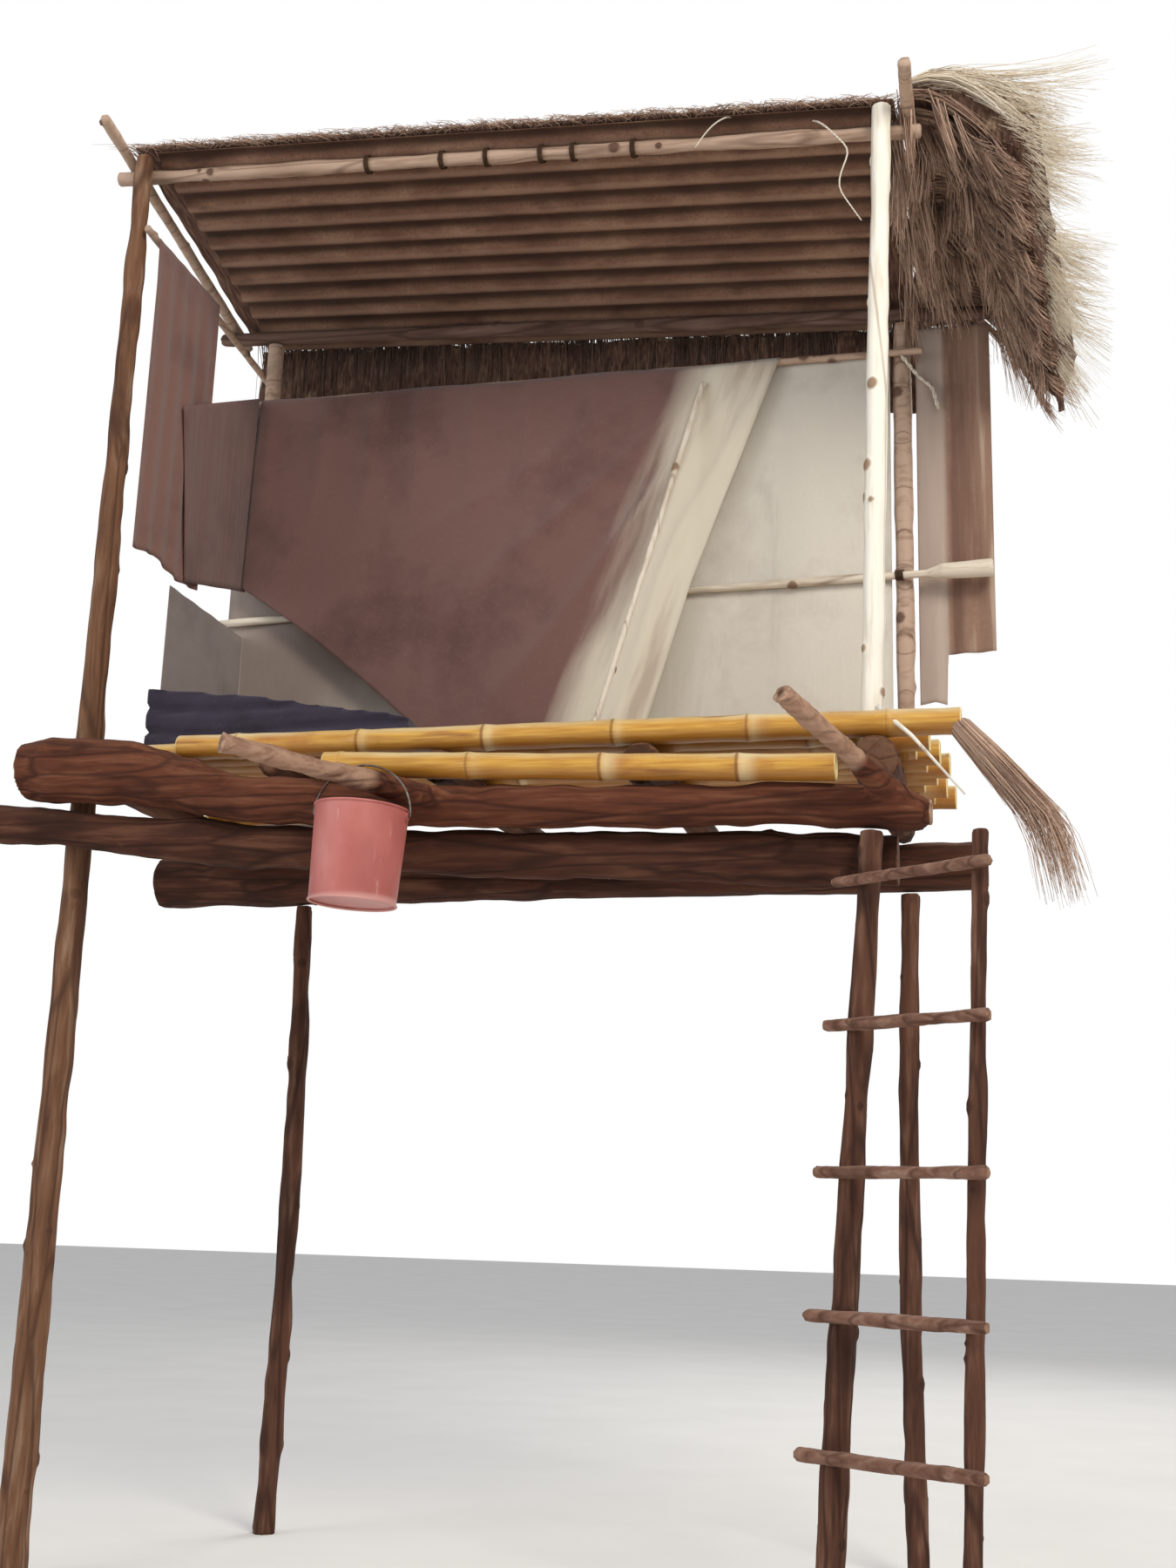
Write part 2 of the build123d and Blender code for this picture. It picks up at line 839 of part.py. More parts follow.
# Cloths on the left side: a drape from the side rail, the blanket's wing and a low canvas
side_face = side_rail_along + top_rail_radius + seat
wing_face = side_face + drape_thickness + cloth_gap
with BuildPart() as drape_left:
    with BuildSketch(side_plane(side_face, 0, 0)):
        with BuildLine():
            Polyline(
                (drape_front, drape_bottom),
                (drape_back, drape_bottom),
                (drape_back, side_rail_height),
                (drape_front, side_rail_height),
                close=True,
            )
        make_face()
    extrude(amount=drape_thickness)
drape_left.part.label = "drape_left"
export_step(drape_left.part, "parts/drape_left.step")

blanket_left_edge = wing_face + blanket_thickness + cloth_gap
with BuildPart() as blanket_wing:
    with BuildSketch(Plane(origin=place(wing_face, 0, 0), x_dir=Vector(0, 1, 0), z_dir=Vector(1, 0, 0))):
        with BuildLine():
            Polyline(
                (wing_front, wing_front_height),
                (wing_foot_front, wing_foot_height),
                (wing_back, blanket_left_height),
                (wing_back, blanket_top),
                close=True,
            )
        make_face()
    extrude(amount=blanket_thickness)
blanket_wing.part.label = "blanket_wing"
export_step(blanket_wing.part, "parts/blanket_wing.step")

canvas_side_back = rail_face
with BuildPart() as canvas_left_side:
    with BuildSketch(side_plane(side_face, 0, 0)):
        with BuildLine():
            Polyline(
                (side_canvas_front, floor_rest),
                (canvas_side_back, floor_rest),
                (canvas_side_back, side_canvas_top),
                (side_canvas_front, side_canvas_top),
                close=True,
            )
        make_face()
    extrude(amount=canvas_thickness)
canvas_left_side.part.label = "canvas_left_side"
export_step(canvas_left_side.part, "parts/canvas_left_side.step")

# Narrow curtain under the front roof pole, outside the left pole
curtain_along = -pole_radius(curtain_bottom) - curtain_thickness - cloth_gap
curtain_top = roof_height(curtain_along + curtain_thickness, front_roof_behind) - front_roof_pole_radius
with BuildPart() as curtain_left:
    with BuildSketch(side_plane(curtain_along, front_roof_behind, 0)):
        with BuildLine():
            Polyline(
                (-curtain_width / 2, curtain_bottom),
                (curtain_width / 2, curtain_bottom),
                (curtain_width / 2, curtain_top - cloth_gap),
                (-curtain_width / 2, curtain_top - cloth_gap),
                close=True,
            )
        make_face()
    extrude(amount=curtain_thickness)
curtain_left.part.label = "curtain_left"
export_step(curtain_left.part, "parts/curtain_left.step")

# Blanket that hangs over the top rail and leans in to clear the middle rail
blanket_back = rail_face - 2 * top_rail_radius - cloth_gap
blanket_slope = tan(radians(blanket_lean))
blanket_foot = floor_rest - top_rail_height
with BuildPart() as blanket:
    blanket_plane = Plane(
        origin=place(0, blanket_back, top_rail_height),
        x_dir=Vector(1, 0, 0),
        z_dir=Vector(0, -1, blanket_slope),
    )
    with BuildSketch(blanket_plane):
        with BuildLine():
            Polyline(
                (blanket_left_edge, blanket_left_height - top_rail_height),
                (blanket_left_edge, blanket_top - top_rail_height),
                (blanket_top_right, blanket_top - top_rail_height),
                (blanket_waist_right, blanket_waist_height - top_rail_height),
                (blanket_fall_right, blanket_foot),
                (blanket_fall_left, blanket_foot),
            )
            ThreePointArc(
                (blanket_fall_left, blanket_foot),
                (blanket_sag_along, blanket_sag_height - top_rail_height),
                (blanket_left_edge, blanket_left_height - top_rail_height),
            )
        make_face()
    extrude(amount=blanket_thickness)
blanket.part.label = "blanket"
export_step(blanket.part, "parts/blanket.step")


def blanket_front(height):
    """How far behind the front line the blanket's face is."""
    return blanket_back - (top_rail_height - height) * blanket_slope - blanket_thickness * (1 + blanket_slope)


# Hessian that hangs from the end of the back roof pole
hessian_top = roof_height(hessian_right, depth) - back_roof_pole_radius - 2 * cloth_gap
with BuildPart() as hessian_right_cloth:
    hessian_plane = Plane(
        origin=place(0, depth + hessian_thickness / 2, 0),
        x_dir=Vector(1, 0, 0),
        z_dir=Vector(0, -1, 0),
    )
    with BuildSketch(hessian_plane):
        with BuildLine():
            Polyline(
                (hessian_left, hessian_strip_bottom),
                (hessian_strip_right, hessian_strip_bottom),
                (hessian_strip_right, hessian_bottom),
                (hessian_right, hessian_bottom),
                (hessian_right, hessian_top),
                (hessian_left, hessian_top),
                close=True,
            )
        make_face()
    extrude(amount=hessian_thickness)
hessian_right_cloth.part.label = "hessian_right"
export_step(hessian_right_cloth.part, "parts/hessian_right.step")

# Bedding on the floor, thick at the left
with BuildPart() as bedding:
    with BuildSketch(front_plane(0, bedding_back, floor_rest)):
        with BuildLine():
            Polyline(
                (bedding_left, bedding_height),
                (bedding_left, 0),
                (bedding_right, 0),
                (bedding_right, bedding_right_height),
            )
            ThreePointArc(
                (bedding_right, bedding_right_height),
                (
                    (bedding_left + bedding_right) / 2,
                    (bedding_height + bedding_right_height) / 2 + bedding_swell,
                ),
                (bedding_left, bedding_height),
            )
        make_face()
    extrude(amount=bedding_back - bedding_front)
bedding.part.label = "bedding"
export_step(bedding.part, "parts/bedding.step")

# Cane that leans on the blanket
cane_foot_behind = cane_foot_row * culm_pitch
cane_head_behind = blanket_front(cane_head_height) - cane_radius - cloth_gap
cane_head = place(cane_head_along, cane_head_behind, cane_head_height)
cane_lean = (cane_head - place(cane_foot_along, cane_foot_behind, floor_top)).normalized()
cane_lift = cane_radius * sqrt(1 - cane_lean.Z**2) + seat
with BuildPart() as cane:
    tapered_log(
        place(cane_foot_along, cane_foot_behind, floor_top + cane_lift),
        cane_head,
        cane_radius,
        cane_radius,
    )
cane.part.label = "cane"
export_step(cane.part, "parts/cane.step")

# Ladder: a second stile, and rungs in front of both stiles
with BuildPart() as ladder_stile_right:
    tapered_log(
        place(ladder_right_foot_along, ladder_right_behind, 0),
        place(ladder_right_head_along, ladder_right_behind, ladder_right_height),
        ladder_right_foot_radius,
        ladder_right_head_radius,
    )
    split(bisect_by=Plane.XY, keep=Keep.TOP)
ladder_stile_right.part.label = "ladder_stile_right"
export_step(ladder_stile_right.part, "parts/ladder_stile_right.step")

for number, height in enumerate(rung_heights, start=1):
    left_share = height / front_leg_height
    right_share = height / ladder_right_height
    left_along = blend(front_leg_foot_along, front_leg_head_along, left_share)
    right_along = blend(ladder_right_foot_along, ladder_right_head_along, right_share)
    left_stile = place(left_along, upper_behind_right, height)
    right_stile = place(right_along, ladder_right_behind, height)
    left_radius = blend(front_leg_foot_radius, front_leg_head_radius, left_share)
    right_radius = blend(ladder_right_foot_radius, ladder_right_head_radius, right_share)
    across = (right_stile - left_stile).normalized()
    forward = across.cross(Vector(0, 0, 1))
    left_touch = left_stile + forward * (left_radius + rung_radius + seat)
    right_touch = right_stile + forward * (right_radius + rung_radius + seat)
    reach = (right_touch - left_touch).normalized()
    with BuildPart() as rung:
        tapered_log(
            left_touch - reach * (left_radius + rung_overhang),
            right_touch + reach * (right_radius + rung_overhang),
            rung_radius,
            rung_radius,
        )
    rung.part.label = f"ladder_rung_{number}"
    export_step(rung.part, f"parts/ladder_rung_{number}.step")

# Bucket, on the stub by its bail
stub_root = upper_centre(left_stub_root)
stub_tip = place(left_stub_tip_along, left_stub_tip_behind, left_stub_tip_height)
stub_share = (bucket_behind - front_to_middle - stub_root.Y) / (stub_tip.Y - stub_root.Y)
stub_centre = stub_root + (stub_tip - stub_root) * stub_share
stub_radius = blend(left_stub_root_radius, left_stub_tip_radius, stub_share)
hang = stub_centre.Z + stub_radius + bail_wire_radius + bail_seat
ear_axis = Vector(cos(radians(bucket_tilt)), 0, -sin(radians(bucket_tilt)))
bucket_up = Vector(sin(radians(bucket_tilt)), 0, cos(radians(bucket_tilt)))
ear_centre = Vector(stub_centre.X, stub_centre.Y, hang - bail_radius)
bucket_plane = Plane(origin=ear_centre, x_dir=ear_axis, z_dir=Vector(0, -1, 0))
bucket_foot = ear_drop - bucket_height
bucket_floor = bucket_foot + bucket_recess
with BuildPart() as bucket:
    with BuildSketch(bucket_plane):
        with BuildLine():
            Polyline(
                (0, bucket_floor),
                (bucket_base_radius - bucket_wall, bucket_floor),
                (bucket_base_radius - bucket_wall, bucket_foot),
                (bucket_base_radius, bucket_foot),
                (bucket_rim_radius, ear_drop),
                (bucket_rim_radius - bucket_wall, ear_drop),
                (bucket_base_radius - bucket_wall, bucket_floor + bucket_wall),
                (0, bucket_floor + bucket_wall),
                close=True,
            )
        make_face()
    revolve(axis=Axis(ear_centre, bucket_up))
    with BuildSketch(bucket_plane):
        with Locations((bucket_rim_radius, ear_drop), (bucket_base_radius, bucket_foot + bucket_bead)):
            Circle(bucket_bead)
    revolve(axis=Axis(ear_centre, bucket_up))
    for side in (1, -1):
        inner = Plane(origin=ear_centre, z_dir=ear_axis * side)
        with BuildSketch(inner.offset(bucket_rim_radius - 2 * bucket_wall)):
            Circle(ear_radius)
        extrude(amount=ear_height + 2 * bucket_wall)
        with BuildSketch(inner.offset(bucket_base_radius)):
            Circle(bail_wire_radius + pin_clearance)
        extrude(amount=bail_radius - bucket_base_radius, mode=Mode.SUBTRACT)
bucket.part.label = "bucket"
export_step(bucket.part, "parts/bucket.step")

with BuildPart() as bucket_bail:
    with BuildLine(bucket_plane) as bail_line:
        CenterArc((0, 0), bail_radius, 0, 180)
    with BuildSketch(Plane(origin=ear_centre + ear_axis * bail_radius, z_dir=bucket_up)):
        Circle(bail_wire_radius)
    sweep(path=bail_line.line)
    for side in (1, -1):
        with BuildSketch(Plane(origin=ear_centre, z_dir=ear_axis * side).offset(bail_radius - pin_reach)):
            Circle(bail_wire_radius)
        extrude(amount=pin_reach)
bucket_bail.part.label = "bucket_bail"
export_step(bucket_bail.part, "parts/bucket_bail.step")

# Hank of fibre that hangs from the right end of the front culm
with BuildPart() as fibre_bundle:
    fibre_path = [
        place(front_culm_right_end + seat, -culm_pitch, culm_height),
        place(fibre_shoulder_along, -culm_pitch, fibre_shoulder_height),
        place(fibre_bend_along, -culm_pitch, fibre_bend_height),
        place(fibre_tip_along, -culm_pitch, fibre_tip_height),
    ]
    fibre_sections = [round_section(fibre_path[0], Vector(1, 0, 0), culm_radius)]
    for before, point, after in zip(fibre_path, fibre_path[1:], fibre_path[2:]):
        fibre_sections.append(round_section(point, after - before, fibre_radius))
    fibre_sections.append(round_section(fibre_path[3], fibre_path[3] - fibre_path[2], fibre_tip_radius))
    loft(fibre_sections, ruled=True)
fibre_bundle.part.label = "fibre_bundle"
export_step(fibre_bundle.part, "parts/fibre_bundle.step")
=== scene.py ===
import math

import bpy
import numpy as np
from mathutils import Matrix, Vector


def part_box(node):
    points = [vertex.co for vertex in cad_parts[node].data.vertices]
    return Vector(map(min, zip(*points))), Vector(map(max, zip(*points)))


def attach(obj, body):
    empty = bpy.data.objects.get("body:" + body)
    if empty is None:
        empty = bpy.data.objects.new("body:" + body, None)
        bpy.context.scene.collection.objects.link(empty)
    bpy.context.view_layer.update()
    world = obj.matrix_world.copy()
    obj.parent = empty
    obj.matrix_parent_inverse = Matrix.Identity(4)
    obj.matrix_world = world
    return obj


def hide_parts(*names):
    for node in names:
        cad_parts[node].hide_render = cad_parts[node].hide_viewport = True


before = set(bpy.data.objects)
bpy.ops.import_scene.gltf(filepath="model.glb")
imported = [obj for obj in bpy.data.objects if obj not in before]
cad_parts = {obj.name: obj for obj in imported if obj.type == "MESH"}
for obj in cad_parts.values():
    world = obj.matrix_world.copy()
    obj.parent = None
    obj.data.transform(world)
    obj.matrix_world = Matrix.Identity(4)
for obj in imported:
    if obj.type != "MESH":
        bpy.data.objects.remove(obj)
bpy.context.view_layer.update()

# A look-out hut on poles, in metres: X to the right along the front, Y to the back, Z up.
# The origin is on the ground under the middle of the hut.

# Where the front left pole and the front line stand from the origin
POLE_X = -1.101
FRONT_Y = -0.223

# Camera
CAMERA_PLACE = Vector((1.186, -4.201, 0.823))
CAMERA_YAW = math.radians(14)
CAMERA_PITCH = math.radians(13.5)
CAMERA_ROLL = math.radians(1.7)
CAMERA_LENS = 41.6
SENSOR_WIDTH = 36

# Roof: its corner over the left pole, its own axes, and lifts over the roof poles' plane
ROOF_CORNER = np.array((-1.101, -0.1756, 3.568))
ROOF_RIGHT = np.array((0.99841, 0.0, -0.05632))
ROOF_BACK = np.array((-0.01008, 0.98386, -0.17868))
ROOF_UP = np.array((0.05541, 0.17896, 0.98229))
ROOF_CORNER_BEHIND = 0.0474
MAT_LIFT = 0.0413
RAFTER_TOP_LIFT = 0.0563
RIGHT_RAFTER_ALONG = 2.046

# Grass mat: its back edge and how far stalks may lie along the roof
MAT_BACK = 0.862
MAT_ENDS = (-0.04, 2.02)

# Skirt of grass: its depth from front to back, and its fall at the front and growth to the back
SKIRT_FRONT = -0.02
SKIRT_DEPTH = 0.90
SKIRT_FALL = 0.200
SKIRT_FALL_GROWTH = 0.130
SOLID_FALL_GROWTH = 0.230
SKIRT_THICKNESS = 0.062

# Middle rail: its ends from the left pole, the plane at its back, its least radius and its swell
RAIL_LEFT = -0.060
RAIL_RIGHT = 2.217
RAIL_FACE_Y = 0.4952
RAIL_RADIUS = 0.012
RAIL_SWELL = 0.012

# Corrugated sheet: its pitch, the share of a wave ahead of the front pole, and where painted shade starts to
# darken it towards the back
WAVE_PITCH = 0.07934
WAVE_SHARE = 0.75
SHEET_SHADE_FROM = -0.47

# Bamboo
CULM_RADIUS = 0.031
CULM_RIDGE = 0.002
CULM_WALL = 0.005
CULM_SIDES = 20
CULM_HOLLOW = 0.09
NODE_SPACING = 0.310
CULM_PHASES = (0.130, 0.255, 0.160, 0.300, 0.120, 0.280)
CULM_PITCH = 0.067
CULM_ROWS = 10
CULM_STEP = 0.017

# Blanket: its back, its lean, the rail it hangs over and its top right corner
BLANKET_BACK = FRONT_Y + 0.6957
BLANKET_SLOPE = math.tan(math.radians(2.1))
TOP_RAIL_HEIGHT = 3.195
BLANKET_TOP = 3.206
BLANKET_RIGHT = POLE_X + 1.645

# Planes of the other cloths, behind the front line or along from the left pole
CANVAS_BEHIND = 0.7207
SACKING_BEHIND = 0.750
WING_ALONG = 0.0636
SIDE_CANVAS_ALONG = 0.0526
DRAPE_ALONG = 0.0551
CURTAIN_ALONG = -0.0345

# Logs: the usual radius of a knot
KNOT_RADIUS = 0.022

# Directions: along, from front to back and up
LEVEL = np.array((1, 0, 0))
AHEAD = np.array((0, 1, 0))
HIGH = np.array((0, 0, 1))

LATTICE_SIZE = 32
LATTICE = np.random.default_rng(7).random((LATTICE_SIZE,) * 3)


def noise(points, size, seed=0):
    """Smooth noise from -1 to 1, with lumps about size metres across."""
    cells = np.asarray(points, float) / size + np.array((3.7, 9.1, 5.3)) * (seed + 1)
    base = np.floor(cells).astype(int)
    part = cells - base
    part = part * part * (3 - 2 * part)
    total = np.zeros(len(cells))
    for corner in np.ndindex(2, 2, 2):
        weight = np.prod(np.where(corner, part, 1 - part), axis=1)
        spot = (base + corner) % LATTICE_SIZE
        total += weight * LATTICE[spot[:, 0], spot[:, 1], spot[:, 2]]
    return 2 * total - 1


def unit(values):
    """Values held between 0 and 1."""
    return np.clip(values, 0, 1)


def colour(code):
    """A linear colour from a code of six hexadecimal digits."""
    parts = [int(code[i:i + 2], 16) / 255 for i in (0, 2, 4)]
    return (*[p / 12.92 if p < 0.04045 else ((p + 0.055) / 1.055) ** 2.4 for p in parts], 1)


def linked(name, data):
    """A new object in the scene."""
    made = bpy.data.objects.new(name, data)
    bpy.context.scene.collection.objects.link(made)
    return made


def set_shade(mesh, name, values):
    """Keep one number for each vertex, for a material to read."""
    mesh.attributes.new(name, "FLOAT", "POINT").data.foreach_set("value", np.asarray(values, np.float32))


def add_piece(name, mesh, material, slot, *replaced):
    """Put a finished mesh in the scene, on the hut and in place of its CAD nodes."""
    piece = linked(name, mesh)
    mesh.materials.clear()
    mesh.materials.append(material)
    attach(piece, "hut")
    if replaced:
        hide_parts(*replaced)
    return piece


def new_mesh(name, points, faces):
    mesh = bpy.data.meshes.new(name)
    mesh.from_pydata(np.asarray(points).tolist(), [], faces)
    mesh.polygons.foreach_set("use_smooth", [True] * len(mesh.polygons))
    mesh.update()
    return mesh


def changed(name, data, kind, **settings):
    """The mesh that a modifier makes of some data."""
    rough = linked(name, data)
    modifier = rough.modifiers.new("change", kind)
    for key, value in settings.items():
        setattr(modifier, key, value)
    mesh = bpy.data.meshes.new_from_object(rough.evaluated_get(bpy.context.evaluated_depsgraph_get()))
    bpy.data.objects.remove(rough)
    mesh.name = name
    return mesh


def rows_of_three(items, key):
    """A mesh's places or directions, one to a row."""
    values = np.zeros(len(items) * 3)
    items.foreach_get(key, values)
    return values.reshape(-1, 3)


def points_of(mesh):
    return rows_of_three(mesh.vertices, "co")


def normals_of(mesh):
    return rows_of_three(mesh.vertex_normals, "vector")


def set_points(mesh, points):
    mesh.vertices.foreach_set("co", np.asarray(points).ravel())
    mesh.update()


def even_mesh(name, node, voxel, reshape=None):
    """A CAD node's form as even small faces, reshaped."""
    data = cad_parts[node].data.copy()
    mesh = changed(name, data, "REMESH", mode="VOXEL", voxel_size=voxel, use_smooth_shade=True)
    if reshape:
        set_points(mesh, reshape(points_of(mesh)))
    return mesh


def add_node(tree, kind, inputs=None, **settings):
    """A shader node with its settings, and its inputs linked or set."""
    made = tree.nodes.new(kind)
    for key, value in settings.items():
        setattr(made, key, value)
    for key, value in (inputs or {}).items():
        if isinstance(value, bpy.types.NodeSocket):
            tree.links.new(value, made.inputs[key])
        else:
            made.inputs[key].default_value = value
    return made


class Finish:
    """A procedural material, built up from texture nodes, and its paint so far."""

    def __init__(self, name, roughness, sheen=0.0, specular=0.3):
        self.material = bpy.data.materials.new(name)
        self.material.use_nodes = True
        self.tree = self.material.node_tree
        self.surface = self.tree.nodes["Principled BSDF"]
        self.surface.inputs["Roughness"].default_value = roughness
        self.surface.inputs["Sheen Weight"].default_value = sheen
        self.surface.inputs["Specular IOR Level"].default_value = specular
        self.where = self.add("ShaderNodeTexCoord").outputs["Object"]
        self.paint = None
        self.normal = None

    def add(self, kind, inputs=None, **settings):
        return add_node(self.tree, kind, inputs, **settings)

    def stretched(self, scale):
        """Coordinates scaled along each axis."""
        return self.add("ShaderNodeMapping", {"Vector": self.where, "Scale": scale}).outputs[0]

    def noise(self, scale, stretch=None, detail=4.0, rough=0.5, twist=0.0):
        where = self.stretched(stretch) if stretch else self.where
        inputs = {"Vector": where, "Scale": scale, "Detail": detail, "Roughness": rough, "Distortion": twist}
        return self.add("ShaderNodeTexNoise", inputs).outputs[0]

    def cells(self, scale, stretch):
        """Distances to the edges of stretched cells."""
        inputs = {"Vector": self.stretched(stretch), "Scale": scale}
        return self.add("ShaderNodeTexVoronoi", inputs, feature="DISTANCE_TO_EDGE").outputs["Distance"]

    def bands(self, scale, direction, twist, detail_scale=1.0):
        inputs = {"Vector": self.where, "Scale": scale, "Distortion": twist, "Detail Scale": detail_scale}
        return self.add("ShaderNodeTexWave", inputs, bands_direction=direction).outputs["Fac"]

    def ramp(self, fac, *stops):
        """A colour from a number, through (place, colour code) stops."""
        made = self.add("ShaderNodeValToRGB", {"Fac": fac})
        elements = made.color_ramp.elements
        while len(elements) < len(stops):
            elements.new(0.5)
        for element, (place, code) in zip(elements, stops):
            element.position = place
            element.color = colour(code)
        return made.outputs["Color"]

    def spread(self, fac, low, high, to_low=0.0, to_high=1.0):
        """A number's share of the way from low to high, smoothly."""
        inputs = {"Value": fac, "From Min": low, "From Max": high, "To Min": to_low, "To Max": to_high}
        return self.add("ShaderNodeMapRange", inputs, interpolation_type="SMOOTHSTEP").outputs["Result"]

    def mix(self, fac, first, second):
        """One colour mixed into another, each a code or a socket."""
        first, second = (colour(c) if isinstance(c, str) else c for c in (first, second))
        return self.add("ShaderNodeMix", {0: fac, 6: first, 7: second}, data_type="RGBA").outputs[2]

    def tint(self, code, fac, *reach):
        """Mix a colour into the paint as a number spreads over a reach."""
        self.paint = self.mix(self.spread(fac, *reach), self.paint, code)

    def maths(self, how, *values):
        return self.add("ShaderNodeMath", dict(enumerate(values)), operation=how).outputs[0]

    def attribute(self, name):
        return self.add("ShaderNodeAttribute", attribute_name=name).outputs["Fac"]

    def axis(self, letter):
        """One coordinate of the place on the object."""
        return self.add("ShaderNodeSeparateXYZ", {"Vector": self.where}).outputs[letter]

    def facing_up(self):
        """How far the surface faces upwards."""
        normal = self.add("ShaderNodeNewGeometry").outputs["Normal"]
        return self.add("ShaderNodeSeparateXYZ", {"Vector": normal}).outputs["Z"]

    def bump(self, height, distance, strength=0.6):
        inputs = {"Height": height, "Distance": distance, "Strength": strength}
        if self.normal:
            inputs["Normal"] = self.normal
        self.normal = self.add("ShaderNodeBump", inputs).outputs["Normal"]

    def done(self, roughness=None):
        for title, socket in (("Base Color", self.paint), ("Roughness", roughness), ("Normal", self.normal)):
            if socket:
                self.tree.links.new(socket, self.surface.inputs[title])
        return self.material


def bark(name, dark, middle, pale, grain, end="9a7a62", bare="a07f69"):
    """Weathered log: fibres along the grain, cracks, worn patches, knots, bare stubs and sawn ends, and paler
    where it faces up.
    """
    skin = Finish(name, 0.88, specular=0.2)
    fibres = skin.noise(46, grain, detail=8, rough=0.6, twist=0.4)
    patches = skin.noise(7, [0.5 + g / 2 for g in grain], detail=5)
    cracks = skin.cells(17, grain)
    skin.paint = skin.ramp(fibres, (0.28, dark), (0.52, middle), (0.8, pale))
    skin.tint(middle, patches, 0.5, 0.72, 0, 0.75)
    skin.tint(dark, patches, 0.3, 0.46, 0.7, 0)
    skin.tint(dark, cracks, 0.0, 0.07, 0.75, 0)
    # Paler where the log faces up.
    paler_facing_up = skin.maths("MULTIPLY", skin.spread(skin.facing_up(), 0.35, 1.0, 0, 0.5), fibres)
    skin.paint = skin.mix(paler_facing_up, skin.paint, pale)
    ragged = skin.maths("MULTIPLY_ADD", fibres, 0.5, skin.attribute("knot"))
    skin.tint(dark, ragged, 0.6, 1.15, 0, 0.65)
    stripped = skin.mix(skin.spread(fibres, 0.42, 0.62, 0, 0.4), bare, middle)
    skin.tint(stripped, skin.attribute("bare"), 0.2, 0.8)
    sawn = skin.mix(skin.spread(skin.noise(70), 0.4, 0.65, 0, 0.6), end, middle)
    sawn = skin.mix(skin.spread(skin.attribute("heart"), 0.3, 0.9, 0, 0.8), sawn, dark)
    skin.tint(sawn, skin.attribute("cut"), 0.3, 0.7)
    skin.bump(fibres, 0.004)
    skin.bump(skin.spread(cracks, 0, 0.1), 0.004, 0.7)
    return skin.done()


def peeled(name, pale, middle, dark, grain):
    """Peeled pole, bleached, with brown knots and thin drying cracks."""
    skin = Finish(name, 0.62)
    fibres = skin.noise(60, grain, detail=6, rough=0.55)
    stain = skin.noise(5.5, [0.4 + g / 2 for g in grain])
    skin.paint = skin.ramp(fibres, (0.25, middle), (0.5, pale), (0.8, pale))
    skin.tint(middle, stain, 0.55, 0.75, 0, 0.6)
    skin.tint(dark, skin.cells(9, grain), 0, 0.03, 0.5, 0)
    ragged = skin.maths("MULTIPLY_ADD", fibres, 0.6, skin.attribute("knot"))
    skin.tint(dark, ragged, 0.65, 1.2, 0, 0.9)
    skin.bump(fibres, 0.002)
    return skin.done()


def bamboo_skin():
    """Ripe bamboo: gold, with painted shade darkening it below and painted sunlight paling it on top, scarred
    and dark at the nodes.
    """
    skin = Finish("bamboo_skin", 0.33, specular=0.5)
    fibres = skin.noise(150, (0.06, 1, 1), detail=5)
    stain = skin.noise(4.5, (1, 2.5, 2.5), detail=6, rough=0.6)
    patchy = skin.noise(3.2, (1, 0.3, 0.3), detail=5)
    streaks = skin.noise(26, (0.12, 1, 1))
    scars = skin.noise(9, (0.5, 1, 1), detail=7, rough=0.7)
    up = skin.facing_up()
    skin.paint = skin.ramp(fibres, (0.3, "b07a2a"), (0.55, "c8963c"), (0.8, "d9b15a"))
    skin.tint("a3641f", stain, 0.5, 0.68, 0, 0.8)
    # Painted shade: darker on the underside.
    skin.tint("96591f", up, 0.0, -0.8, 0, 0.65)
    # Painted sunlight: pale in patches on top.
    top = skin.maths("MULTIPLY", skin.spread(up, 0.25, 0.95), skin.spread(patchy, 0.38, 0.6, 0.25, 0.8))
    skin.paint = skin.mix(top, skin.paint, "e2d2a6")
    skin.tint("7c4517", streaks, 0.58, 0.7, 0, 0.75)
    skin.tint("5f3a1a", scars, 0.6, 0.68, 0, 0.6)
    skin.tint("6b4320", skin.attribute("ring"), 0.15, 0.8, 0, 0.7)
    skin.tint("e6d6a8", skin.maths("MULTIPLY", skin.attribute("bloom"), stain), 0.1, 0.6, 0, 0.5)
    skin.tint("e3cd90", skin.attribute("cut"), 0.4, 0.6)
    skin.bump(fibres, 0.0008, 0.4)
    return skin.done(skin.spread(stain, 0.3, 0.7, 0.28, 0.55))


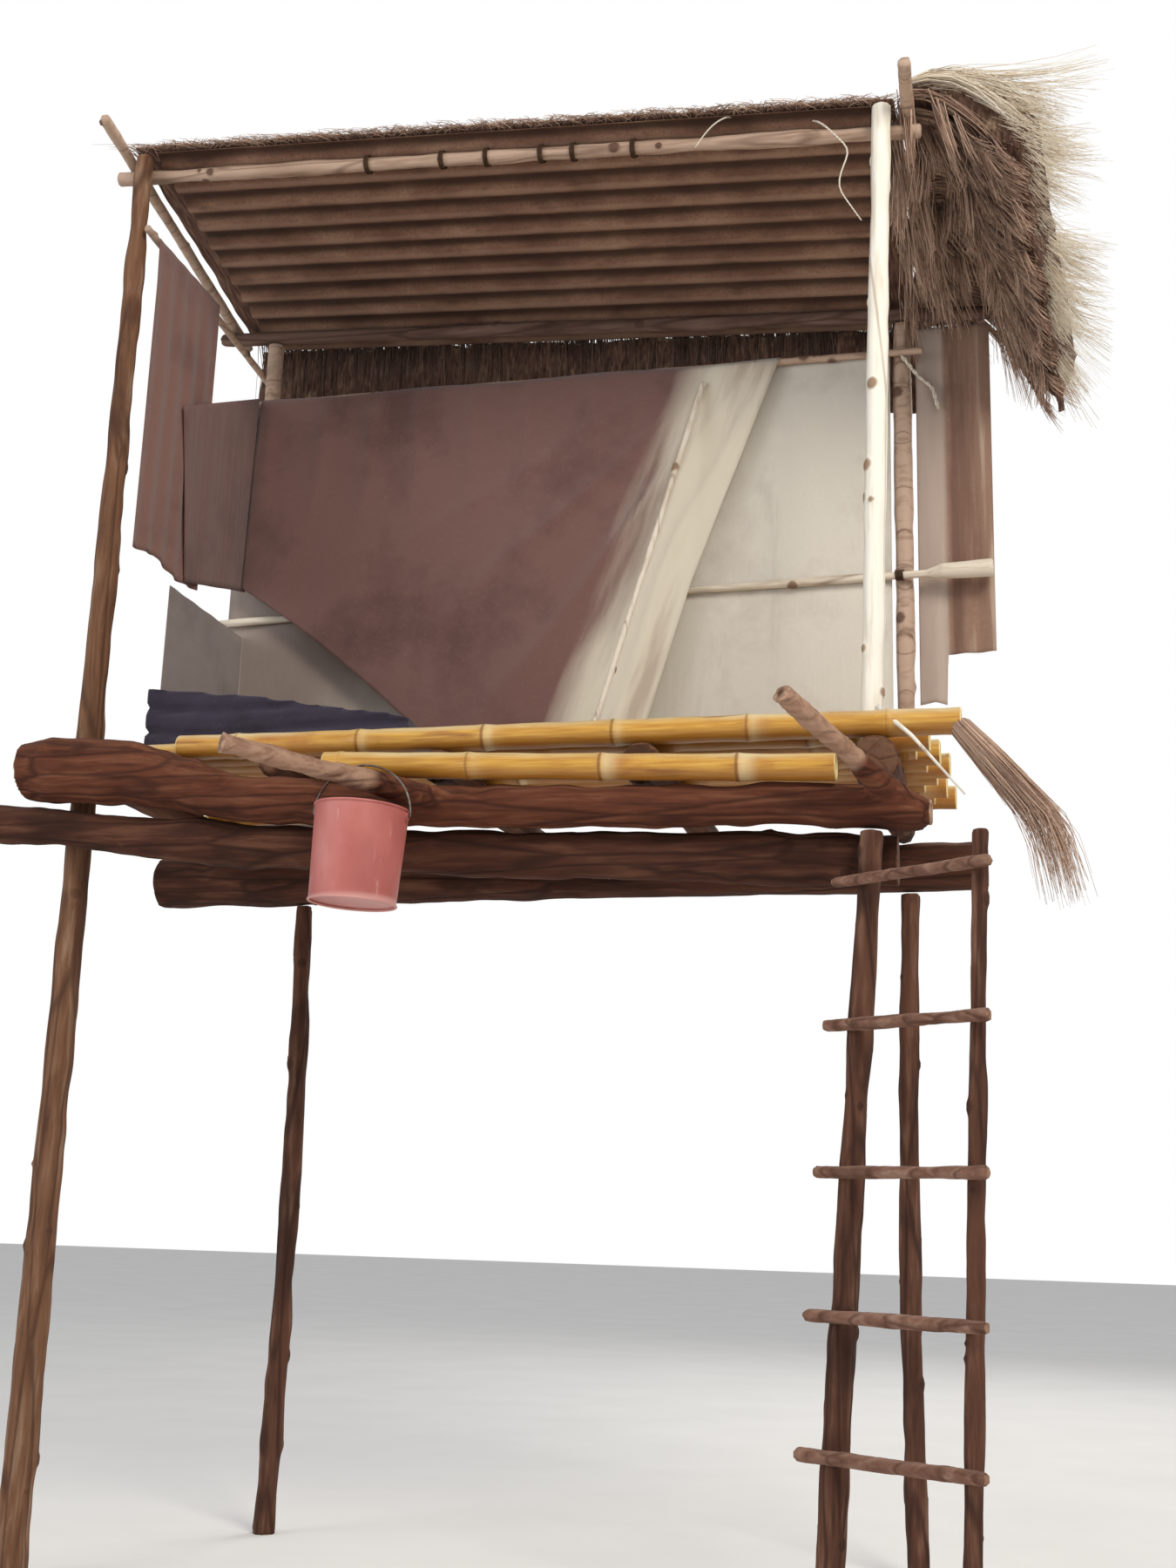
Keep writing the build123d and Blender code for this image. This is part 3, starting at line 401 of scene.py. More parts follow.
def rust():
    """Old corrugated iron: brown rust and streaks, with painted shade along the crests seen from below,
    troughs painted paler as light, and painted shade towards the back.
    """
    skin = Finish("rusty_iron", 0.85, specular=0.25)
    blotches = skin.noise(5, (1, 1.6, 1.6), detail=8, rough=0.62)
    grains = skin.noise(160)
    streaks = skin.noise(16, (0.25, 1, 1), detail=5)
    skin.paint = skin.ramp(blotches, (0.3, "5d4133"), (0.48, "7d5b49"), (0.62, "92705b"), (0.8, "aa8b75"))
    skin.tint("4f3428", grains, 0.4, 0.7, 0, 0.35)
    skin.tint("4c332a", streaks, 0.58, 0.7, 0, 0.6)
    slope = {0: skin.where, 1: ROOF_BACK.tolist()}
    down = skin.add("ShaderNodeVectorMath", slope, operation="DOT_PRODUCT").outputs["Value"]
    start = 2 * math.pi * (WAVE_SHARE - float(ROOF_CORNER @ ROOF_BACK) / WAVE_PITCH)
    crest = skin.maths("SINE", skin.maths("MULTIPLY_ADD", down, 2 * math.pi / WAVE_PITCH, start))
    # Painted shade in the crests' hollows seen from below, mixed with rust streaks; the troughs are painted
    # paler as light.
    streaks_and_crest_shade = skin.maths("MULTIPLY_ADD", streaks, 1.2, crest)
    skin.tint("2f1f18", streaks_and_crest_shade, 0.2, 1.7, 0, 0.85)
    skin.tint("a98d79", streaks_and_crest_shade, 0.2, -0.6, 0, 0.4)
    # Painted shade, deepening towards the back of the roof.
    skin.tint("3d2a21", down, SHEET_SHADE_FROM, SHEET_SHADE_FROM + 0.5, 0, 0.4)
    skin.bump(grains, 0.0006, 0.5)
    skin.bump(blotches, 0.002, 0.3)
    return skin.done()


def straw(name, dark, middle, pale):
    """Dry grass: each stalk has its own shade, and tips are paler."""
    skin = Finish(name, 0.8, sheen=0.15, specular=0.25)
    skin.paint = skin.ramp(skin.attribute("shade"), (0.0, dark), (0.45, middle), (1.0, pale))
    skin.tint(dark, skin.noise(60, detail=3), 0.55, 0.75, 0, 0.35)
    return skin.done()


def grass_body():
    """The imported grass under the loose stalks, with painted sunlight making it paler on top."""
    skin = Finish("grass_body", 0.95, specular=0.1)
    fibres = skin.noise(120, (1, 0.12, 0.3), detail=6)
    skin.paint = skin.ramp(fibres, (0.3, "43302a"), (0.55, "6a5044"), (0.8, "937662"))
    lit = skin.ramp(fibres, (0.3, "9c8168"), (0.55, "c9b08f"), (0.8, "e6d6ba"))
    # Painted sunlight: paler where the grass faces up.
    skin.tint(lit, skin.facing_up(), 0.0, 0.45)
    skin.bump(fibres, 0.004)
    return skin.done()


def cloth(name, base, dark, pale, threads, weave_depth, stain_scale=3.0, stain=0.5, across="X"):
    """Woven cloth: crossing threads, uneven dye, stains and pale wear."""
    skin = Finish(name, 0.95, sheen=0.25, specular=0.15)
    warp, weft = (skin.bands(threads, way, 1.2, 2) for way in (across, "Z"))
    weave = skin.maths("MULTIPLY", warp, weft)
    dye = skin.noise(stain_scale, detail=6, rough=0.6)
    fluff = skin.noise(90, rough=0.7)
    dyed = skin.ramp(dye, (0.32, dark), (0.5, base), (0.68, base), (0.85, pale))
    skin.paint = skin.mix(stain, base, dyed)
    skin.tint(pale, fluff, 0.5, 0.8, 0, 0.35)
    skin.tint(dark, weave, 0.0, 0.35, 0.3, 0)
    skin.bump(weave, weave_depth, 0.5)
    skin.bump(fluff, weave_depth, 0.3)
    return skin


def blanket_cloth():
    """Woollen blanket: mauve brown, fading to cream at its right end, with soft brown streaks."""
    skin = cloth("blanket_wool", "7b5b55", "604440", "937369", 190, 0.0014, 3.0, 0.9)
    turn = {"Vector": skin.where, "Rotation": (0, math.radians(-19), 0)}
    slant = skin.add("ShaderNodeMapping", turn).outputs[0]
    drawn = skin.add("ShaderNodeMapping", {"Vector": slant, "Scale": (1, 1, 0.12)}).outputs[0]
    wear = skin.add("ShaderNodeTexNoise", {"Vector": drawn, "Scale": 11, "Detail": 4}).outputs[0]
    edge = skin.maths("MULTIPLY_ADD", skin.axis("Z"), -0.34, skin.axis("X"))
    edge = skin.maths("MULTIPLY_ADD", wear, 0.24, edge)
    cream = skin.mix(skin.spread(wear, 0.5, 0.66, 0, 0.6), "ddd3c0", "a68f80")
    skin.tint(cream, edge, -0.72, -0.60)
    return skin.done()


def canvas_cloth():
    """White canvas, creased, with painted shade in its creases and in grey brown towards its left end."""
    skin = cloth("canvas_white", "d9d2c5", "bbb1a6", "e9e3d5", 260, 0.0006, 3.5, 0.7)
    shade_edge_noise = skin.noise(2.2, detail=6, rough=0.6)
    # Painted shade: grey brown towards the left end, where the canvas lies in shadow.
    skin.tint("8b7a72", skin.maths("MULTIPLY_ADD", shade_edge_noise, 0.5, skin.axis("X")), -0.1, -0.65, 0, 0.85)
    creases_and_crease_shade = skin.noise(5, (1, 1, 0.35), detail=7, rough=0.65, twist=0.8)
    # Painted shade in the creases.
    skin.tint("a89c92", creases_and_crease_shade, 0.55, 0.75, 0, 0.4)
    skin.bump(creases_and_crease_shade, 0.012, 0.35)
    return skin.done()


def hessian_cloth():
    """Coarse sacking: brown, streaked down its length, with painted sunlight as a pale strip at its left."""
    skin = cloth("hessian", "957563", "6f5346", "b79c86", 120, 0.0016, 4.0, 0.8)
    streaks = skin.noise(26, (1, 1, 0.05))
    skin.tint("664a40", streaks, 0.5, 0.68, 0, 0.65)
    skin.tint("c9b7a4", streaks, 0.46, 0.32, 0, 0.5)
    # Painted sunlight: a pale strip at the left.
    skin.tint("b8a79b", skin.maths("MULTIPLY_ADD", streaks, 0.03, skin.axis("X")), 1.018, 0.996, 0, 0.75)
    return skin.done()


def faded_plastic():
    """Bucket plastic: dusty pink red, sun-faded, with a paler lower band and scuffs."""
    skin = Finish("bucket_plastic", 0.5, specular=0.4)
    fade = skin.noise(9, (1, 1, 0.5), detail=5)
    scuffs = skin.noise(55, (1, 1, 0.2), detail=6, rough=0.7)
    skin.paint = skin.ramp(fade, (0.3, "a0554f"), (0.55, "b5675f"), (0.8, "c4807a"))
    skin.tint("d3a29b", scuffs, 0.6, 0.75, 0, 0.5)
    skin.tint("d9aaa2", skin.axis("Z"), 1.485, 1.50, 0.6, 0)
    skin.bump(scuffs, 0.0006, 0.3)
    return skin.done()


def dull_wire():
    skin = Finish("bail_wire", 0.45, specular=0.5)
    skin.surface.inputs["Metallic"].default_value = 0.8
    rusting = skin.noise(70, detail=5)
    skin.paint = skin.ramp(rusting, (0.4, "6e6a66"), (0.6, "5c4a40"), (0.75, "70452f"))
    skin.bump(rusting, 0.0004, 0.4)
    return skin.done()


def twine(name, dark, pale):
    skin = Finish(name, 0.95, specular=0.1)
    twist = skin.bands(160, "DIAGONAL", 0.5)
    skin.paint = skin.ramp(twist, (0.2, dark), (0.8, pale))
    skin.bump(twist, 0.001)
    return skin.done()


UPRIGHT = (1, 1, 0.09)
LENGTHWISE = (0.09, 1, 1)
CROSSWISE = (1, 0.09, 1)

BARK_POLE = bark("bark_pole", "4a3024", "74523c", "a08670", UPRIGHT)
BARK_BEAM = bark("bark_beam", "351b13", "5e3423", "865a42", LENGTHWISE, "b09078", "a5836d")
# A darker copy of the beam bark: painted shade for the lower front beam and the back beam.
BARK_IN_SHADE = bark("bark_painted_shade", "2c1811", "4a2b1f", "6f4b38", LENGTHWISE, "6e4e3c")
DARK_POLE = bark("dark_roof_pole", "47332a", "675046", "85695b", LENGTHWISE)
BARK_JOIST = bark("bark_joist", "3a2318", "5d3c2b", "84624a", CROSSWISE, "6b4c3a")
BARK_LEG = bark("bark_leg", "35211a", "5d3d2f", "8a6a57", UPRIGHT)
BARK_RUNG = bark("bark_rung", "54382c", "7d5b4c", "a98c7b", LENGTHWISE)
PEELED_POST = peeled("peeled_post", "efe9dc", "d2c4ad", "8c6b4c", UPRIGHT)
PEELED_RAIL = peeled("peeled_rail", "d8ccba", "a8937d", "6d503a", LENGTHWISE)
ROOF_POLE = peeled("roof_pole", "b59a86", "8a6b56", "54382a", LENGTHWISE)
CANE_WOOD = peeled("cane_wood", "d8cdbd", "b39f88", "7a5e45", UPRIGHT)
BAMBOO = bamboo_skin()
RUST = rust()
STRAW_SHADE = straw("straw_brown", "6a4d40", "a07f6c", "d0b098")
# Dark straw: painted shade for the grass hanging at the back.
STRAW_BACK_SHADE = straw("straw_back_painted_shade", "3a2a22", "5a4238", "866a58")
STRAW_LIT = straw("straw_cream", "a98a70", "dccab0", "f3ead8")
GRASS = grass_body()
BLANKET = blanket_cloth()
CANVAS = canvas_cloth()
# A grey copy of the canvas: painted shade for its left side.
CANVAS_IN_SHADE = cloth("canvas_painted_shade", "8d807c", "6f6460", "aaa19d", 260, 0.0006, 4.0, 0.8, "Y").done()
DRAPE = cloth("drape_mauve", "846057", "6a4a43", "a07c72", 200, 0.0010, 5.0, 0.8, "Y").done()
HESSIAN = hessian_cloth()
BEDDING = cloth("bedding_navy", "3a3344", "29232e", "57505f", 220, 0.0010, 6.0, 0.8).done()
BUCKET = faded_plastic()
WIRE = dull_wire()
TWINE = twine("twine", "2e211a", "5a4433")
PALE_TWINE = twine("pale_twine", "b9ab98", "efe8da")


def knots_on(points, places):
    """From 0 to 1, how near each point is to a knot given as (centre, radius)."""
    mask = np.zeros(len(points))
    for centre, radius in places:
        mask = np.maximum(mask, 1 - np.linalg.norm(points - np.array(centre), axis=1) / radius)
    return unit(mask * 1.6)


def random_knots(points, count, seed):
    """Places of knots scattered over a log's own points."""
    rng = np.random.default_rng(seed)
    picks = rng.integers(0, len(points), count)
    return list(zip(points[picks], KNOT_RADIUS * rng.uniform(0.5, 1.3, count)))


def stub_shares(points, stubs):
    """How far each point is along a stub (foot, head, radius), and how near its middle, or zero."""
    far, near = np.zeros(len(points)), np.zeros(len(points))
    for foot, head, radius in stubs:
        foot, head = np.array(foot), np.array(head)
        length = np.linalg.norm(head - foot)
        share = (points - foot) @ (head - foot) / length**2
        away = np.linalg.norm(points - foot - share[:, None] * (head - foot), axis=1)
        on_stub = (away < radius + 0.008) & (share > 0)
        far = np.where(on_stub, np.maximum(far, share), far)
        near = np.where(on_stub, 1 - away / radius, near)
    return far, near


def thin_rail(points):
    """The middle rail worn thin up to the right post, with its back still against the canvas."""
    along = points[:, 0] - POLE_X
    share = (along - RAIL_LEFT) / (RAIL_RIGHT - RAIL_LEFT)
    middle_height = 2.500 + 0.042 * share
    radius = RAIL_RADIUS + RAIL_SWELL * unit((along - 2.040) / 0.045)
    slim = np.minimum(radius / (RAIL_RADIUS + RAIL_SWELL * share), 1)
    moved = points.copy()
    moved[:, 1] = RAIL_FACE_Y - (RAIL_FACE_Y - points[:, 1]) * slim
    moved[:, 2] = middle_height + (points[:, 2] - middle_height) * slim
    return moved


def deep_beam(points):
    """The lower front beam deepened upwards, to where it meets the upper one."""
    along = points[:, 0] - POLE_X
    rise = np.interp(along, (0.10, 0.48, 0.93, 1.93), (0, 0.010, 0.016, 0.034))
    middle = np.interp(along, (-0.275, -0.015, 0.48, 0.93, 2.01), (1.735, 1.717, 1.656, 1.630, 1.590))
    radius = np.interp(along, (-0.275, 0.48, 2.01), (0.053, 0.051, 0.046))
    share = unit((points[:, 2] - middle + radius) / (2 * radius))
    return points + np.outer(rise * share, HIGH)


def log(node, slot, material, axis, voxel, lumps, ridges, knot_count, seed,
        knots=(), stubs=(), stub_from=0.5, reshape=None):
    """Give a CAD log the swellings, fissures, knots and sawn ends of real wood."""
    mesh = even_mesh(node + "_wood", node, voxel, reshape)
    points, normals = points_of(mesh), normals_of(mesh)
    axis = np.array(axis, float)
    along = points @ axis
    grain = points - np.outer(along, axis) * 0.88
    fissures = np.abs(noise(grain, 0.017, seed)) + 0.5 * np.abs(noise(grain, 0.009, seed + 3))
    knot = knots_on(points, list(knots) + random_knots(points, knot_count, seed))
    cut = unit((np.abs(normals @ axis) - 0.75) / 0.15)
    low, high = along.min() + 0.02, along.max() - 0.02
    heart = np.zeros(len(points))
    for end in (along < low, along > high):
        if end.any():
            middle = points[end].mean(axis=0)
            reach = np.linalg.norm(points[end] - middle, axis=1).max()
            heart = np.where(end, 1 - 2.2 * np.linalg.norm(points - middle, axis=1) / reach, heart)
    cut = np.where((along < low) | (along > high), cut, 0)
    far, near = stub_shares(points, stubs)
    cut = np.maximum(cut, unit((far - 0.985) / 0.008))
    heart = np.where(far > 0.98, near * 1.6 - 0.6, heart)
    height = lumps * noise(points, 0.13, seed) + 0.5 * lumps * noise(points, 0.05, seed + 1)
    height += ridges * (fissures - 0.6) + 0.004 * knot * knot - lumps * 0.5
    moved = points + normals * (height * (1 - 0.85 * cut))[:, None]
    moved[:, 2] = np.maximum(moved[:, 2], 0)
    set_points(mesh, moved)
    shades = {"knot": knot, "cut": cut, "heart": unit(heart), "bare": unit((far - stub_from) / 0.1)}
    for name, values in shades.items():
        set_shade(mesh, name, values)
    add_piece(node + "_wood", mesh, material, slot, node)


def make_logs():
    butt_knots = [((-1.02, -0.42, 1.90), 0.045), ((-0.90, -0.42, 1.895), 0.04)]
    stubs = [((-0.061, -0.3337, 1.7345), (-0.516, -0.693, 1.808), 0.031),
             ((0.929, -0.327, 1.7164), (0.698, -0.623, 1.892), 0.040)]
    special = {
        "beam_front_upper": {"knots": butt_knots, "stubs": stubs, "stub_from": 0.35},
        "beam_front_lower": {"reshape": deep_beam},
        "rail_middle": {"reshape": thin_rail},
    }
    # Node, slot, material, grain, voxel, lumps, ridges, knots and seed
    rungs = [(f"ladder_rung_{number}", "ladder_wood", BARK_RUNG, LEVEL, 0.0055, 0.002, 0.0015, 0, 11 + number)
             for number in range(1, 6)]
    for row in (
        ("pole_front_left", "dark_log", BARK_POLE, HIGH, 0.009, 0.004, 0.0022, 9, 2),
        ("beam_front_upper", "dark_log", BARK_BEAM, LEVEL, 0.008, 0.007, 0.004, 6, 3),
        ("beam_front_lower", "dark_log", BARK_IN_SHADE, LEVEL, 0.009, 0.007, 0.004, 6, 4),
        ("beam_back", "dark_log", BARK_IN_SHADE, LEVEL, 0.013, 0.006, 0.003, 8, 5),
        ("leg_back_left", "dark_log", BARK_LEG, HIGH, 0.010, 0.004, 0.0022, 8, 6),
        ("leg_back_right", "dark_log", BARK_LEG, HIGH, 0.010, 0.004, 0.0022, 8, 7),
        ("leg_front_right", "dark_log", BARK_LEG, HIGH, 0.008, 0.004, 0.0022, 8, 8),
        ("joists", "dark_log", BARK_JOIST, AHEAD, 0.013, 0.003, 0.0022, 0, 9),
        ("joist_left", "dark_log", BARK_JOIST, AHEAD, 0.013, 0.003, 0.0022, 0, 10),
        ("ladder_stile_right", "ladder_wood", BARK_LEG, HIGH, 0.007, 0.003, 0.0022, 6, 11),
        *rungs,
        ("post_front_right", "peeled_pole", PEELED_POST, HIGH, 0.0065, 0.003, 0.0005, 14, 20),
        ("post_back_left", "peeled_pole", ROOF_POLE, HIGH, 0.010, 0.003, 0.001, 6, 21),
        ("post_back_right", "peeled_pole", ROOF_POLE, HIGH, 0.010, 0.003, 0.001, 6, 22),
        ("roof_pole_front", "peeled_pole", ROOF_POLE, LEVEL, 0.0065, 0.003, 0.001, 10, 23),
        ("roof_pole_back", "peeled_pole", DARK_POLE, LEVEL, 0.010, 0.003, 0.001, 6, 24),
        ("rafter_left", "peeled_pole", ROOF_POLE, AHEAD, 0.008, 0.002, 0.001, 4, 25),
        ("rafter_right", "peeled_pole", ROOF_POLE, AHEAD, 0.008, 0.002, 0.001, 4, 26),
        ("rail_middle", "peeled_pole", PEELED_RAIL, LEVEL, 0.006, 0.002, 0.0007, 8, 27),
        ("rail_top", "peeled_pole", ROOF_POLE, LEVEL, 0.006, 0.001, 0.0005, 6, 28),
        ("rail_left", "peeled_pole", ROOF_POLE, AHEAD, 0.006, 0.001, 0.0005, 3, 29),
        ("cane", "cane_wood", CANE_WOOD, HIGH, 0.0045, 0.001, 0.0003, 3, 30),
    ):
        log(*row, **special.get(row[0], {}))


def culm_rings(left, right, phase, seed):
    """Stations along a culm: (distance, radius, ring, bloom, cut)."""
    length = right - left
    node = (phase - (left - POLE_X)) % NODE_SPACING
    nodes = []
    while node < length:
        nodes.append(node)
        node += NODE_SPACING
    stations = [(0.0, CULM_RADIUS, 0, 0, 1), (0.004, CULM_RADIUS, 0, 0, 0)]
    for step in np.arange(0.03, length - 0.02, 0.031):
        if all(abs(step - n) > 0.024 for n in nodes):
            swell = 0.0006 * math.sin(37 * step + seed)
            bloom = max((0.7 - (step - n) / 0.13 for n in nodes if 0 < step - n < 0.09), default=0)
            stations.append((step, CULM_RADIUS + swell - 0.0008, 0, bloom, 0))
    shape = ((-0.016, 0.0, 0, 0), (-0.007, 0.45, 0.1, 0), (-0.003, 0.9, 0.5, 0), (0.0, 0.5, 1, 0))
    shape += ((0.0025, 1.0, 0.6, 0.2), (0.007, 0.4, 0.1, 0.8), (0.016, 0.0, 0, 1))
    for number, n in enumerate(nodes):
        mark = 0.6 + 0.4 * math.sin(7 * number + 3 * seed)
        for offset, rise, ring, bloom in shape:
            if 0.006 < n + offset < length - 0.006:
                stations.append((n + offset, CULM_RADIUS + rise * CULM_RIDGE, ring * mark, bloom * mark, 0))
    stations += [(length - 0.004, CULM_RADIUS, 0, 0, 0), (length, CULM_RADIUS, 0, 0, 1)]
    return sorted(stations)


def culm_parts(left, right, y, z_left, z_right, phase, seed):
    """Points, faces and shades of one culm from X left to right, hollow at both ends."""
    inner = CULM_RADIUS - CULM_WALL
    length = right - left
    bottom = length - CULM_HOLLOW
    loop = [(CULM_HOLLOW, 0.002, 0, 0, 0), (CULM_HOLLOW, inner, 0, 0, 0), (0.0, inner, 0, 0, 1)]
    loop += culm_rings(left, right, phase, seed)
    loop += [(length, inner, 0, 0, 1), (bottom, inner, 0, 0, 0), (bottom, 0.002, 0, 0, 0)]
    loop = np.repeat(np.array(loop, float), CULM_SIDES, axis=0)
    distance, radius = loop[:, 0], loop[:, 1]
    turn = np.tile(np.linspace(0, 2 * math.pi, CULM_SIDES, endpoint=False), len(loop) // CULM_SIDES)
    bow = 0.003 * np.sin(math.pi * distance / length * 2 + seed)
    oval = 1 + 0.012 * np.cos(2 * turn + seed)
    height = z_left + (z_right - z_left) * distance / length + radius * np.sin(turn)
    points = np.stack([left + distance, y + bow + radius * oval * np.cos(turn), height], axis=1)
    here = np.arange(len(loop)).reshape(-1, CULM_SIDES)
    after = np.roll(here, -1, axis=1)
    faces = np.stack([here[:-1], after[:-1], after[1:], here[1:]], axis=-1).reshape(-1, 4).tolist()
    faces += [here[0, ::-1].tolist(), here[-1].tolist()]
    return points.tolist(), faces, loop[:, 2:]


def culms(node, *rows):
    """Join culms into one piece."""
    points, faces, shades = [], [], []
    for row in rows:
        some_points, some_faces, some_shades = culm_parts(*row)
        faces += [tuple(i + len(points) for i in face) for face in some_faces]
        points += some_points
        shades.append(some_shades)
    mesh = new_mesh(node + "_bamboo", points, faces)
    for index, title in enumerate(("ring", "bloom", "cut")):
        set_shade(mesh, title, np.concatenate(shades)[:, index])
    add_piece(node + "_bamboo", mesh, BAMBOO, "bamboo", node)


def make_floor():
    ridge = CULM_RADIUS + CULM_RIDGE
    for node, phase in (("floor_culm_front", 0), ("floor_culm_posts", 1), ("floor_culm_lower", 4)):
        low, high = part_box(node)
        y = (low.y + high.y) / 2
        culms(node, (low.x, high.x, y, high.z - ridge, low.z + ridge, CULM_PHASES[phase], phase))
    low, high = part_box("floor_culms")
    height = high.z - ridge
    rows = []
    for row in range(1, CULM_ROWS + 1):
        left = POLE_X + 0.020 + (row * 3 % 5) * CULM_STEP
        right = POLE_X + 2.110 - (row * 2 % 5) * CULM_STEP
        rows.append((left, right, FRONT_Y + row * CULM_PITCH, height, height, CULM_PHASES[row % 6], row))
    culms("floor_culms", *rows)


def resampled(curve, count):
    """Points evenly spaced along a polyline."""
    curve = np.array(curve, float)
    steps = np.concatenate(([0], np.cumsum(np.linalg.norm(np.diff(curve, axis=0), axis=1))))
    even = np.linspace(0, steps[-1], count)
    return np.stack([np.interp(even, steps, curve[:, i]) for i in range(curve.shape[1])], axis=1)


def patch(top, bottom, columns, rows, right=None):
    """Flat places (rows, columns, 2) between polylines, with straight sides or a given right one."""
    left, right = [top[0], bottom[0]], right or [top[-1], bottom[-1]]
    top, bottom = resampled(top, columns), resampled(bottom, columns)
    left, right = resampled(left, rows), resampled(right, rows)
    u = np.linspace(0, 1, columns)[None, :, None]
    v = np.linspace(0, 1, rows)[:, None, None]
    grid = (1 - v) * top[None] + v * bottom[None] + (1 - u) * left[:, None] + u * right[:, None]
    corners = (1 - u) * (1 - v) * top[0] + u * (1 - v) * top[-1]
    corners = corners + (1 - u) * v * bottom[0] + u * v * bottom[-1]
    return grid - corners


def hang(name, grid, place, thickness, material, slot, node):
    """Make a sheet of cloth from a grid of flat places, each put in space by place(a, b)."""
    rows, columns = grid.shape[:2]
    index = np.arange(rows * columns).reshape(rows, columns)
    corners = [index[:-1, :-1], index[1:, :-1], index[1:, 1:], index[:-1, 1:]]
    faces = np.stack(corners, axis=-1).reshape(-1, 4).tolist()
    thin = new_mesh(name, place(grid[..., 0].ravel(), grid[..., 1].ravel()), faces)
    mesh = changed(name, thin, "SOLIDIFY", thickness=thickness, offset=0)
    piece = add_piece(name, mesh, material, slot, node)


def flat_places(across, up):
    """Places for noise that is the same at every depth."""
    return np.stack([across, up, np.zeros(len(across))], axis=1)


def side_place(along, fold):
    """Places on an upright plane from front to back, folded sideways by fold(y, z)."""
    return lambda y, z: np.stack([POLE_X + along + fold(y, z), y, z], axis=1)


def blanket_place(x, z):
    """The blanket's plane, with folds that fan down from its right end and others under the rail."""
    plane = BLANKET_BACK - (TOP_RAIL_HEIGHT - z) * BLANKET_SLOPE
    flat = flat_places(x, z * 0.6)
    drop = unit((3.21 - z) / 0.5)
    fan = np.arctan2(x - 0.60, 3.35 - z)
    fanned = (1 - np.abs(np.sin(fan * 15 + 0.7 * noise(flat, 0.3, 6)))) ** 2
    hung = (1 - np.abs(np.sin(x * 19 + 0.9 * noise(flat, 0.3, 7)))) ** 2
    under_rail = unit((3.2 - z) / 0.08) * unit(1 - (3.2 - z) / 0.5) * unit((0.2 - x) / 0.1)
    forward = 0.021 * fanned * drop * unit((x + 0.6) / 0.6) + 0.016 * hung * under_rail
    forward += drop * (0.009 * (noise(flat, 0.33, 4) + 1) + 0.003 * noise(flat, 0.09, 5))
    over = unit((z - 3.188) / 0.024)
    y = np.minimum(plane - 0.004 - forward + over * 0.014, plane + over * 0.016)
    return np.stack([x, y, z], axis=1)


def arc_points(first, middle, last, count=16):
    """Points on the curve through three flat places."""
    share = np.linspace(0, 1, count)[:, None]
    first, middle, last = (np.array(p) for p in (first, middle, last))
    bend = 2 * middle - (first + last) / 2
    return ((1 - share) ** 2 * first + 2 * share * (1 - share) * bend + share**2 * last).tolist()


def make_blanket():
    left = POLE_X + 0.0676
    foot = (POLE_X + 1.240, 1.945)
    wave = [(left + (BLANKET_RIGHT - left) * s, BLANKET_TOP - 0.010 * math.sin(math.pi * s * 3) ** 2)
            for s in np.linspace(0, 1, 25)]
    bottom = arc_points((left, 2.590), (POLE_X + 0.440, 2.312), (POLE_X + 0.830, 1.945)) + [foot]
    right = [(BLANKET_RIGHT, BLANKET_TOP), (POLE_X + 1.50, 2.80), (POLE_X + 1.405, 2.535), foot]
    grid = patch(wave, bottom, 116, 86, right)
    hang("blanket_wool", grid, blanket_place, 0.003, BLANKET, "blanket_cloth", "blanket")

    def fold(y, z):
        return 0.002 * np.sin(y * 40) * unit((3.2 - z) / 0.4)

    front, back = FRONT_Y + 0.220, FRONT_Y + 0.690
    grid = patch([(front, 2.965), (back, 3.208)], [(FRONT_Y + 0.310, 2.485), (back, 2.590)], 40, 30)
    hang("blanket_wing_wool", grid, side_place(WING_ALONG, fold), 0.003, BLANKET, "blanket_cloth",
         "blanket_wing")


def make_canvas():
    def back_place(x, z):
        return np.stack([x, FRONT_Y + CANVAS_BEHIND + 0.0008 * noise(flat_places(x, z), 0.2, 6), z], axis=1)

    left, right = POLE_X + 0.004, POLE_X + 1.948
    top = [(left + (right - left) * s, 3.207 + 0.004 * math.sin(9 * s)) for s in np.linspace(0, 1, 20)]
    grid = patch(top, [(left, 1.8795), (right, 1.8795)], 60, 45)
    hang("canvas_back_cloth", grid, back_place, 0.0015, CANVAS, "canvas_cloth", "canvas_back")

    def fold(y, z):
        return 0.0012 * np.sin(y * 55 + 2 * z)

    front, back = FRONT_Y + 0.250, FRONT_Y + 0.717
    grid = patch([(front, 2.455), (back, 2.458)], [(front, 1.9435), (back, 1.9435)], 50, 20)
    hang("canvas_left_cloth", grid, side_place(SIDE_CANVAS_ALONG, fold), 0.0015, CANVAS_IN_SHADE, "canvas_cloth",
         "canvas_left_side")


